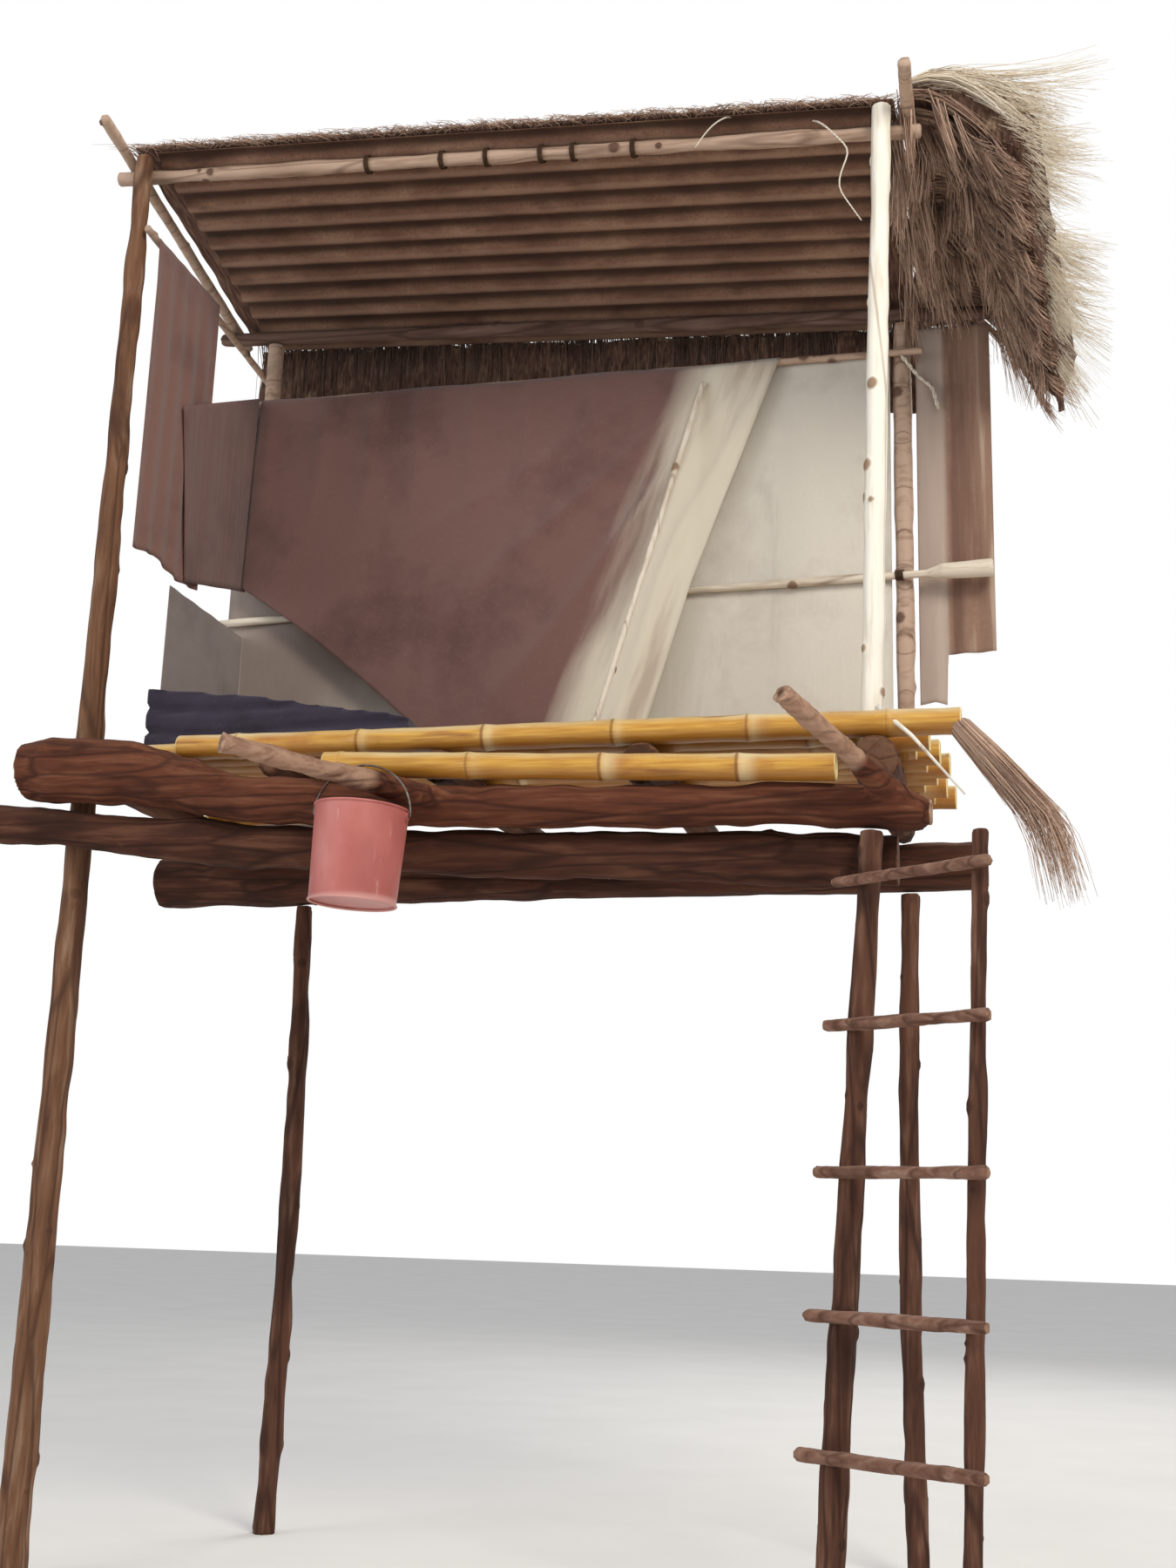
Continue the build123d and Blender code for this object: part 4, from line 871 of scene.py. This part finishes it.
def make_drapes():
    def drape_fold(y, z):
        fold = 0.0040 * np.sin((y - FRONT_Y) * 78 + 2.5 * noise(flat_places(y, z * 0.4), 0.3, 8))
        return fold * np.clip((3.38 - z) / 0.15, 0.2, 1)

    front, back = FRONT_Y + 0.022, FRONT_Y + 0.398
    bottom = [(front, 2.480), (front + 0.12, 2.50), (front + 0.25, 2.478), (back, 2.492)]
    grid = patch([(front, 3.363), (back, 3.363)], bottom, 76, 50)
    hang("drape_left_cloth", grid, side_place(DRAPE_ALONG, drape_fold), 0.002, DRAPE, "drape_cloth",
         "drape_left")

    def curtain_fold(y, z):
        return 0.0022 * np.sin((y - FRONT_Y) * 330 + 3 * z)

    front, back = FRONT_Y + 0.031, FRONT_Y + 0.064
    grid = patch([(front, 3.546), (back, 3.546)], [(front, 2.876), (back, 2.872)], 20, 40)
    hang("curtain_left_cloth", grid, side_place(CURTAIN_ALONG, curtain_fold), 0.0015, DRAPE, "drape_cloth",
         "curtain_left")


def make_hessian():
    def place(x, z):
        flat = flat_places(x, z * 0.25)
        fold = 0.0038 * np.sin((x - POLE_X) * 88 + 3.5 * noise(flat, 0.16, 10))
        fold += 0.002 * noise(flat, 0.05, 11)
        return np.stack([x, FRONT_Y + SACKING_BEHIND + fold * np.clip((3.28 - z) / 0.1, 0.15, 1), z], axis=1)

    left, strip, right = POLE_X + 2.017, POLE_X + 2.088, POLE_X + 2.219
    bottom = [(left, 2.184), (left + 0.04, 2.19), (strip, 2.182), (strip + 0.004, 2.322), (right, 2.326)]
    grid = patch([(left, 3.285), (right, 3.282)], bottom, 62, 88)
    hang("hessian_sack", grid, place, 0.002, HESSIAN, "hessian_cloth", "hessian_right")


def make_bedding():
    """Folded bedding, in rolls one over the other."""
    mesh = even_mesh("bedding_quilt", "bedding", 0.011)
    points, normals = points_of(mesh), normals_of(mesh)
    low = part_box("bedding")[0]
    level = (points[:, 2] - low.z) / 0.062 + 0.5 * noise(points * (1, 1, 0.2), 0.35, 8)
    layers = np.abs(np.sin(np.pi * level))
    side = unit(1 - np.abs(normals[:, 2]) * 1.2)
    height = -0.014 * (1 - layers) ** 3 * side - 0.006 + 0.005 * noise(points, 0.05, 15)
    height += 0.010 * noise(points, 0.12, 9) * unit(normals[:, 2])
    moved = points + normals * height[:, None]
    moved[:, 2] = np.maximum(moved[:, 2], low.z + 0.0003)
    set_points(mesh, moved)
    piece = add_piece("bedding_quilt", mesh, BEDDING, "bedding_cloth", "bedding")


def rods(name, paths, radii, sides, tip):
    """The mesh of rods that follow paths (count, stations, 3) and thin to a share of their radii."""
    count, stations = paths.shape[:2]
    tangents = np.gradient(paths, axis=1)
    tangents /= np.linalg.norm(tangents, axis=2, keepdims=True) + 1e-9
    spin = np.random.default_rng(len(name) + count).normal(size=(count, 1, 3))
    side = np.cross(tangents, spin)
    side /= np.linalg.norm(side, axis=2, keepdims=True) + 1e-9
    other = np.cross(tangents, side)
    taper = np.linspace(1, tip, stations)[None, :, None] * radii[:, None, None]
    turns = np.linspace(0, 2 * math.pi, sides, endpoint=False)
    rings = [paths + taper * (math.cos(t) * side + math.sin(t) * other) for t in turns]
    index = np.arange(count * stations * sides).reshape(count, stations, sides)
    faces = []
    for here in range(sides):
        after = (here + 1) % sides
        quad = [index[:, :-1, here], index[:, :-1, after], index[:, 1:, after], index[:, 1:, here]]
        faces += np.stack(quad, axis=-1).reshape(-1, 4).tolist()
    faces += index[:, 0, ::-1].tolist() + index[:, -1, :].tolist()
    return new_mesh(name, np.stack(rings, axis=2).reshape(-1, 3), faces)


def stalks(name, paths, rng, thinnest, thickest, darkness, material, palest=0.0, replaced=()):
    """Join three-sided stalks, each of its own thickness and shade, and paler to its tip."""
    radii = rng.uniform(thinnest, thickest, len(paths))
    shades = palest + (1 - palest) * rng.random(len(paths)) ** darkness
    mesh = rods(name, paths, radii, 3, 0.25)
    tips = np.linspace(0, 0.25, paths.shape[1])[None, :] + shades[:, None]
    set_shade(mesh, "shade", np.repeat(unit(tips).ravel(), 3))
    add_piece(name, mesh, material, "dry_grass", *replaced)


def smoothed(paths, stations):
    """Paths with evenly spaced stations and their corners rounded."""
    fine = np.stack([resampled(path, stations) for path in paths])
    for _ in range(2):
        fine[:, 1:-1] = (fine[:, :-2] + 2 * fine[:, 1:-1] + fine[:, 2:]) / 4
    return fine


def roof_point(along, behind, lift):
    """A point over the roof poles' plane, from distances along and behind the front left pole."""
    right = np.asarray(along)[..., None] * ROOF_RIGHT / ROOF_RIGHT[0]
    back = (np.asarray(behind)[..., None] - ROOF_CORNER_BEHIND) * ROOF_BACK / ROOF_BACK[1]
    return ROOF_CORNER + right + back + np.asarray(lift)[..., None] * ROOF_UP


def roof_places(points):
    """Distances along and behind the front left pole, and the lift over the poles' plane."""
    axes = np.stack([ROOF_RIGHT, ROOF_BACK, ROOF_UP], axis=1)
    right, back, lift = np.linalg.solve(axes, (points - ROOF_CORNER).T)
    return right * ROOF_RIGHT[0], back * ROOF_BACK[1] + ROOF_CORNER_BEHIND, lift


def body_of_grass(name, node, voxel, shrink, roughness, reshape):
    """A CAD node's form, reshaped, as a packed mass of rough grass that is drawn in a little."""
    mesh = even_mesh(name, node, voxel, reshape)
    points = points_of(mesh)
    bumps = roughness * noise(points * (1, 0.3, 0.6), 0.035, 12) + 0.5 * roughness * noise(points, 0.1, 13)
    set_points(mesh, points + normals_of(mesh) * (bumps - shrink)[:, None])
    add_piece(name, mesh, GRASS, "dry_grass", node)


def mat_thickness(behind):
    """The mat's thickness, least along its front edge."""
    share = (behind - 0.42) / 0.44
    return 0.048 + 0.009 * share - 0.025 * share**2


def thin_front(points):
    """Draw the mat's front edge back and thin it."""
    along, behind, lift = roof_places(points)
    share = (behind - 0.40) / 0.46
    solid_thickness = 0.048 - 0.016 * np.abs(share)
    ahead = -0.020 + (behind + 0.060) * 0.880 / 0.920
    lift = MAT_LIFT + (lift - MAT_LIFT) * mat_thickness(ahead) / solid_thickness
    return roof_point(along, ahead, lift)


def make_mat():
    """Grass on the roof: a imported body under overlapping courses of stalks."""
    body_of_grass("roof_thatch_body", "roof_thatch", 0.024, 0.003, 0.003, thin_front)
    rng = np.random.default_rng(41)
    count = 4000
    along = rng.uniform(-0.03, 2.01, count)
    behind = rng.uniform(-0.01, 0.70, count)
    length = rng.uniform(0.12, 0.26, count)
    yaw = rng.normal(0, 0.22, count)
    share = np.linspace(0, 1, 3)
    ahead = behind[:, None] + share * (length * np.cos(yaw))[:, None]
    across = np.clip(along[:, None] + share * (length * np.sin(yaw))[:, None], *MAT_ENDS)
    lift = MAT_LIFT + mat_thickness(ahead) + rng.uniform(-0.002, 0.008, count)[:, None] + 0.008 * share
    stalks("roof_thatch_stalks", roof_point(across, ahead, lift), rng, 0.0014, 0.0026, 1.3, STRAW_LIT)

    count = 1250
    along = rng.uniform(*MAT_ENDS, count)
    out = rng.uniform(0.0, 1.0, count) ** 3 * 0.05
    lift = MAT_LIFT + rng.uniform(0.0, 0.013, count)
    slip = rng.normal(0, 0.06, count)
    ahead = np.stack([0.03 + 0 * out, -0.008 - 0 * out, -0.02 - 0.4 * out, -0.024 - out], axis=1)
    across = along[:, None] + np.linspace(0, 1, 4) * slip[:, None]
    droop = np.stack([0 * out, 0 * out, 0.15 * out, 0.7 * out], axis=1)
    paths = roof_point(across, ahead, lift[:, None] - droop)
    stalks("roof_thatch_front_edge", paths, rng, 0.0010, 0.0019, 1.8, STRAW_SHADE)


def sloped_top(points):
    """Slope the fringe's top down towards the back."""
    behind = roof_places(points)[1]
    share = unit((behind - 0.855) / 0.060)
    high = unit((points[:, 2] - points[:, 2].max() + 0.20) / 0.10)
    return points - np.outer(0.045 * share * high, HIGH)


def make_back_fringe():
    """Grass that hangs off the back edge in clumps of different lengths, its stalks darkened as painted
    shade.
    """
    body_of_grass("thatch_fringe_body", "thatch_back_fringe", 0.018, 0.012, 0.005, sloped_top)
    rng = np.random.default_rng(43)
    count, clumps = 2600, 150
    clump = rng.integers(0, clumps, count)
    middle = rng.uniform(-0.03, 2.01, clumps)[clump]
    along = np.clip(middle + rng.normal(0, 0.022, count), *MAT_ENDS)
    depth = rng.uniform(0.002, 0.058, count)
    length = rng.uniform(0.17, 0.33, clumps)[clump] * rng.uniform(0.75, 1.05, count)
    length = np.where(depth > 0.035, 0.6, 1) * np.minimum(length, 0.325)
    share = np.linspace(0, 1, 4)
    top = roof_point(along, MAT_BACK, MAT_LIFT + 0.034)
    paths = np.repeat(top[:, None], 4, axis=1)
    gather = (middle - along) * 0.6 + rng.normal(0, 0.012, count)
    paths[..., 0] += share**1.5 * gather[:, None]
    paths[..., 1] += depth[:, None] * (1 - (1 - share) ** 3)
    paths[..., 2] -= (share**1.4) * length[:, None]
    start = roof_point(along, rng.uniform(0.77, 0.83, count), MAT_LIFT + 0.046)
    paths = np.concatenate([start[:, None], paths], axis=1)
    stalks("thatch_fringe_stalks", paths, rng, 0.0014, 0.0026, 1.4, STRAW_BACK_SHADE)


def skirt_shape(t):
    """The skirt's shelf, reach and fall at a share of the way to the back."""
    return 0.060 + 0.155 * t, 0.265 + 0.110 * t, SKIRT_FALL + SKIRT_FALL_GROWTH * t


def rafter_top(behind):
    """Places on top of the right rafter, where the skirt starts."""
    return roof_point(RIGHT_RAFTER_ALONG, behind, RAFTER_TOP_LIFT)


def kept_in(paths):
    """Paths bent back where they would stray too far past the roof's right and back ends."""
    for axis, start, room in ((0, 1.40, 0.06), (1, 0.70, 0.055)):
        over = np.maximum(paths[..., axis] - start, 0)
        paths[..., axis] = np.minimum(paths[..., axis], start) + room * np.tanh(over / room)
    return paths


def skirt_paths(rng, count, clumps, depth_low, depth_high, scale_low, scale_high, flare):
    """Stalks in unruly clumps that leave the right rafter, go out and droop."""
    clump = rng.integers(0, clumps, count)
    home = rng.uniform(0, 1, clumps)[clump]
    t = unit(home + rng.normal(0, 0.020, count))
    scale = rng.uniform(scale_low, scale_high, clumps)[clump] * rng.uniform(0.8, 1.05, count)
    lean = rng.normal(0, 0.075, clumps)[clump] + rng.normal(0, 0.015, count)
    curl = rng.uniform(0, 1, clumps)[clump] ** 2 * flare * rng.uniform(0.5, 1.0, count)
    shelf, reach, fall = skirt_shape(t)
    reach, fall = reach * scale, fall * scale
    depth = rng.uniform(depth_low, depth_high, count) * SKIRT_THICKNESS
    out = [
        np.zeros(count) - 0.012,
        shelf,
        (shelf + reach) / 2 + depth * 0.8 + curl * 0.3,
        reach * 0.93 + depth + curl * 0.6,
        reach + depth + curl * 0.75,
    ]
    down = [
        -0.4 * depth - 0.008,
        -depth - 0.022,
        0.6 * fall - depth * 0.9 - 0.014 - curl * 0.3,
        0.88 * fall - depth * 0.5 - curl * 0.9,
        fall - curl * 1.3,
    ]
    side = np.linspace(0, 1, 5) ** 1.3 * (lean + (home - t) * 0.5)[:, None]
    side += 0.010 * np.sin(np.linspace(0, 5, 5) + 40 * home[:, None])
    away = np.stack([np.stack(out, axis=1), side, -np.stack(down, axis=1)], axis=2)
    paths = rafter_top(SKIRT_FRONT + SKIRT_DEPTH * t)[:, None] + away
    paths[:, 3:] += rng.normal(0, 0.007, (count, 2, 3))
    return kept_in(smoothed(paths, 6))


def hanging_paths(rng, count, clumps):
    """Stalks that hang from the skirt's underside."""
    clump = rng.integers(0, clumps, count)
    t = unit(rng.uniform(0, 1, clumps)[clump] + rng.normal(0, 0.02, count))
    share = np.clip(rng.uniform(-0.14, 0.96, clumps)[clump] + rng.normal(0, 0.03, count), -0.14, 0.98)
    shelf, reach, fall = skirt_shape(t)
    out = share * reach
    near = np.clip((out - shelf) / ((reach - shelf) / 2), 0, 2)
    down = fall * np.where(near < 1, 0.6 * near, 0.6 + 0.4 * (near - 1))
    length = rng.uniform(0.09, 0.20, clumps)[clump] * rng.uniform(0.6, 1.05, count) * (1.15 - 0.65 * share)
    sway = rng.normal(0, 0.02, (clumps, 2))[clump] + rng.normal(0, 0.006, (count, 2))
    step = np.linspace(0, 1, 4)
    paths = np.repeat(rafter_top(SKIRT_FRONT + SKIRT_DEPTH * t)[:, None], 4, axis=1)
    paths[..., 0] += out[:, None] - 0.02 * (1 - step) + (sway[:, :1] + 0.02 * share[:, None]) * step**1.5
    paths[..., 1] += sway[:, 1:] * step**1.5
    paths[..., 2] -= (down - 0.02)[:, None] + length[:, None] * step
    return kept_in(paths)


def raised_back(points):
    """Raise the skirt's foot towards the back."""
    behind = points[:, 1] - FRONT_Y
    share = unit((behind - SKIRT_FRONT) / SKIRT_DEPTH)
    drop = np.maximum(rafter_top(behind)[:, 2] - points[:, 2], 0)
    kept = (SKIRT_FALL + SKIRT_FALL_GROWTH * share) / (SKIRT_FALL + SOLID_FALL_GROWTH * share)
    moved = points.copy()
    moved[:, 2] += drop * (1 - kept)
    return moved


def make_skirt():
    body_of_grass("thatch_skirt_body", "thatch_skirt", 0.014, 0.020, 0.009, raised_back)
    rng = np.random.default_rng(47)
    for name, count, clumps, shape, material in (
        ("thatch_skirt_outer", 2900, 110, (0.70, 1.20, 0.66, 1.02, 0.08), STRAW_LIT),
        ("thatch_skirt_tufts", 2200, 40, (0.85, 1.60, 0.50, 0.98, 0.22), STRAW_LIT),
        ("thatch_skirt_inner", 800, 60, (0.0, 0.30, 0.60, 1.03, 0.0), STRAW_SHADE),
    ):
        stalks(name, skirt_paths(rng, count, clumps, *shape), rng, 0.0011, 0.0023, 0.9, material)
    paths = hanging_paths(rng, 2900, 150)
    stalks("thatch_skirt_hanging", paths, rng, 0.0013, 0.0026, 1.2, STRAW_SHADE)


def make_fibre():
    """Hank of fibre that hangs from the end of the front culm."""
    rng = np.random.default_rng(53)
    count = 1150
    spine = np.array([(2.140, 0, 1.909), (2.200, 0, 1.838), (2.330, 0, 1.674), (2.372, 0, 1.487)])
    spine += (POLE_X, 0, 0)
    widths = np.array([0.029, 0.040, 0.046, 0.040])
    angle = rng.uniform(0, 2 * math.pi, count)
    radius = np.sqrt(rng.random(count))
    paths = np.repeat(spine[None], count, axis=0)
    paths[..., 1] += FRONT_Y - CULM_PITCH
    paths[..., 0] += widths * (radius * np.cos(angle))[:, None]
    paths[..., 1] += widths * (radius * np.sin(angle))[:, None]
    stray = rng.normal(0, 0.016, (count, 3)) * (1, 1, 0.6)
    paths[:, 2] += 0.4 * stray
    paths[:, 3] += stray
    kept = (10 + 22 * rng.random(count) ** 2.6).astype(int)
    paths = np.stack([resampled(resampled(path, 32)[:many], 6) for path, many in zip(paths, kept)])
    stalks("fibre_bundle_stalks", paths, rng, 0.0011, 0.0022, 1.0, STRAW_SHADE, 0.25, ("fibre_bundle",))


def loops(centre, across, up, radius, turns, pitch, open_share=0.0):
    """A path wound round a middle, in turns that lie side by side."""
    half = math.pi * (1 - open_share)
    last = half + 2 * math.pi * (turns - 1)
    angles = np.linspace(-math.pi / 2 - half, -math.pi / 2 + last, int(14 * turns) + 1)
    shift = (angles - angles.mean()) / (2 * math.pi) * pitch
    ring = np.outer(np.cos(angles), across) + np.outer(np.sin(angles), up)
    return np.asarray(centre) + radius * ring + np.outer(shift, np.cross(across, up))


def add_rods(name, paths, radius, tip, material, slot):
    """A piece of equal rods."""
    paths = np.array(paths)
    add_piece(name, rods(name, paths, np.full(len(paths), radius), 6, tip), material, slot)


def make_bindings():
    """Twine round the front roof pole and the middle rail, a splinter, and loose and twisted strands."""
    paths = []
    for along in (0.632, 0.840, 0.962, 1.110, 1.196, 1.355):
        middle = roof_point(along, ROOF_CORNER_BEHIND, 0)
        for slip in (-0.0045, 0, 0.0045):
            paths.append(loops(middle + slip * LEVEL, ROOF_BACK, ROOF_UP, 0.0222, 1, 0.002, 0.16))
    add_rods("roof_bindings", paths, 0.0022, 1, TWINE, "dark_log")

    coil = smoothed(loops((0.868, 0.4832, 2.5383), AHEAD, HIGH, 0.0142, 5, 0.0044)[None], 90)
    add_rods("rail_binding", coil, 0.0021, 1, TWINE, "dark_log")

    splinter = [[(0.868, -0.296, 1.947), (0.945, -0.338, 1.868), (1.057, -0.335, 1.733)]]
    add_rods("splinter", splinter, 0.0075, 0.3, PEELED_POST, "cane_wood")

    strands = (
        [(0.690, -0.150, 3.523), (0.725, -0.215, 3.495), (0.811, -0.235, 3.381), (0.772, -0.240, 3.291),
         (0.836, -0.240, 3.184)],
        [(0.530, -0.150, 3.535), (0.513, -0.215, 3.529), (0.480, -0.240, 3.500), (0.450, -0.245, 3.465),
         (0.427, -0.245, 3.429)],
    )
    curved = smoothed(np.stack([resampled(strand, 9) for strand in strands]), 24)
    add_rods("loose_strands", curved, 0.0028, 0.6, PALE_TWINE, "dry_grass")

    sag = [(0.880, 0.480, 3.184), (0.925, 0.508, 3.128), (0.962, 0.510, 3.095), (0.978, 0.513, 3.030)]
    spine = smoothed(resampled(sag, 12)[None], 44)[0]
    turn = np.linspace(0, 26, len(spine))[:, None]
    pair = [spine + 0.003 * sign * (np.cos(turn) * AHEAD + np.sin(turn) * LEVEL) for sign in (1, -1)]
    add_rods("twisted_strand", pair, 0.0034, 0.9, PALE_TWINE, "canvas_cloth")


def dress_cad_nodes():
    for node, material, slot in (
        ("roof_sheet", RUST, "old_sheet"),
        ("bucket", BUCKET, "bucket_paint"),
        ("bucket_bail", WIRE, "bail_wire"),
    ):
        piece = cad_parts[node]
        piece.data.materials.clear()
        piece.data.materials.append(material)


def make_camera():
    flat = math.cos(CAMERA_PITCH)
    forward = Vector((-math.sin(CAMERA_YAW) * flat, math.cos(CAMERA_YAW) * flat, math.sin(CAMERA_PITCH)))
    level_right = Vector((math.cos(CAMERA_YAW), math.sin(CAMERA_YAW), 0))
    level_up = level_right.cross(forward)
    right = level_right * math.cos(CAMERA_ROLL) + level_up * math.sin(CAMERA_ROLL)
    turn = Matrix((right, right.cross(forward), -forward)).transposed().to_4x4()
    data = bpy.data.cameras.new("photo_view")
    data.lens = CAMERA_LENS
    data.sensor_width = SENSOR_WIDTH
    camera = linked("photo_view", data)
    camera.matrix_world = Matrix.Translation(CAMERA_PLACE) @ turn
    bpy.context.scene.camera = camera


def lamp(name, place, size, watts, tint):
    """A soft square lamp that looks at the middle of the hut."""
    data = bpy.data.lights.new(name, "AREA")
    data.size = size
    data.energy = watts
    data.color = tint
    light = linked(name, data)
    light.location = place
    light.rotation_euler = (Vector((0, 0, 2.4)) - Vector(place)).to_track_quat("-Z", "Y").to_euler()


def make_stage():
    """Pale floor, plain background and soft lamps."""
    size = 30
    corners = [(-size, -size, 0), (size, -size, 0), (size, size, 0), (-size, size, 0)]
    floor = linked("floor", new_mesh("floor", corners, [(0, 1, 2, 3)]))
    skin = Finish("floor_pale", 0.9)
    skin.paint = skin.ramp(skin.noise(2), (0.3, "e9e7e3"), (0.7, "eeece8"))
    floor.data.materials.append(skin.done())

    world = bpy.data.worlds.new("studio")
    bpy.context.scene.world = world
    world.use_nodes = True
    tree = world.node_tree
    ambient = tree.nodes["Background"]
    ambient.inputs["Color"].default_value = (0.93, 0.95, 1.0, 1)
    ambient.inputs["Strength"].default_value = 0.52
    backdrop = add_node(tree, "ShaderNodeBackground", {"Color": (1, 1, 1, 1)})
    rays = add_node(tree, "ShaderNodeLightPath").outputs
    seen = rays["Is Camera Ray"]
    for ray in ("Is Glossy Ray", "Is Transmission Ray"):
        seen = add_node(tree, "ShaderNodeMath", {0: seen, 1: rays[ray]}, operation="MAXIMUM").outputs[0]
    mix = add_node(tree, "ShaderNodeMixShader", {"Fac": seen, 1: ambient.outputs[0], 2: backdrop.outputs[0]})
    tree.links.new(mix.outputs[0], tree.nodes["World Output"].inputs["Surface"])

    lamp("key", (4.5, -5.5, 6.5), 3.0, 430, (1.0, 0.95, 0.86))
    lamp("fill", (-5.5, -5.0, 3.0), 4.0, 160, (0.92, 0.96, 1.0))
    lamp("rim", (2.0, 6.0, 5.5), 4.0, 160, (1.0, 0.97, 0.92))


make_camera()
make_stage()
make_logs()
make_floor()
make_blanket()
make_canvas()
make_drapes()
make_hessian()
make_bedding()
make_mat()
make_back_fringe()
make_skirt()
make_fibre()
make_bindings()
dress_cad_nodes()
bpy.context.scene.view_settings.view_transform = "Standard"
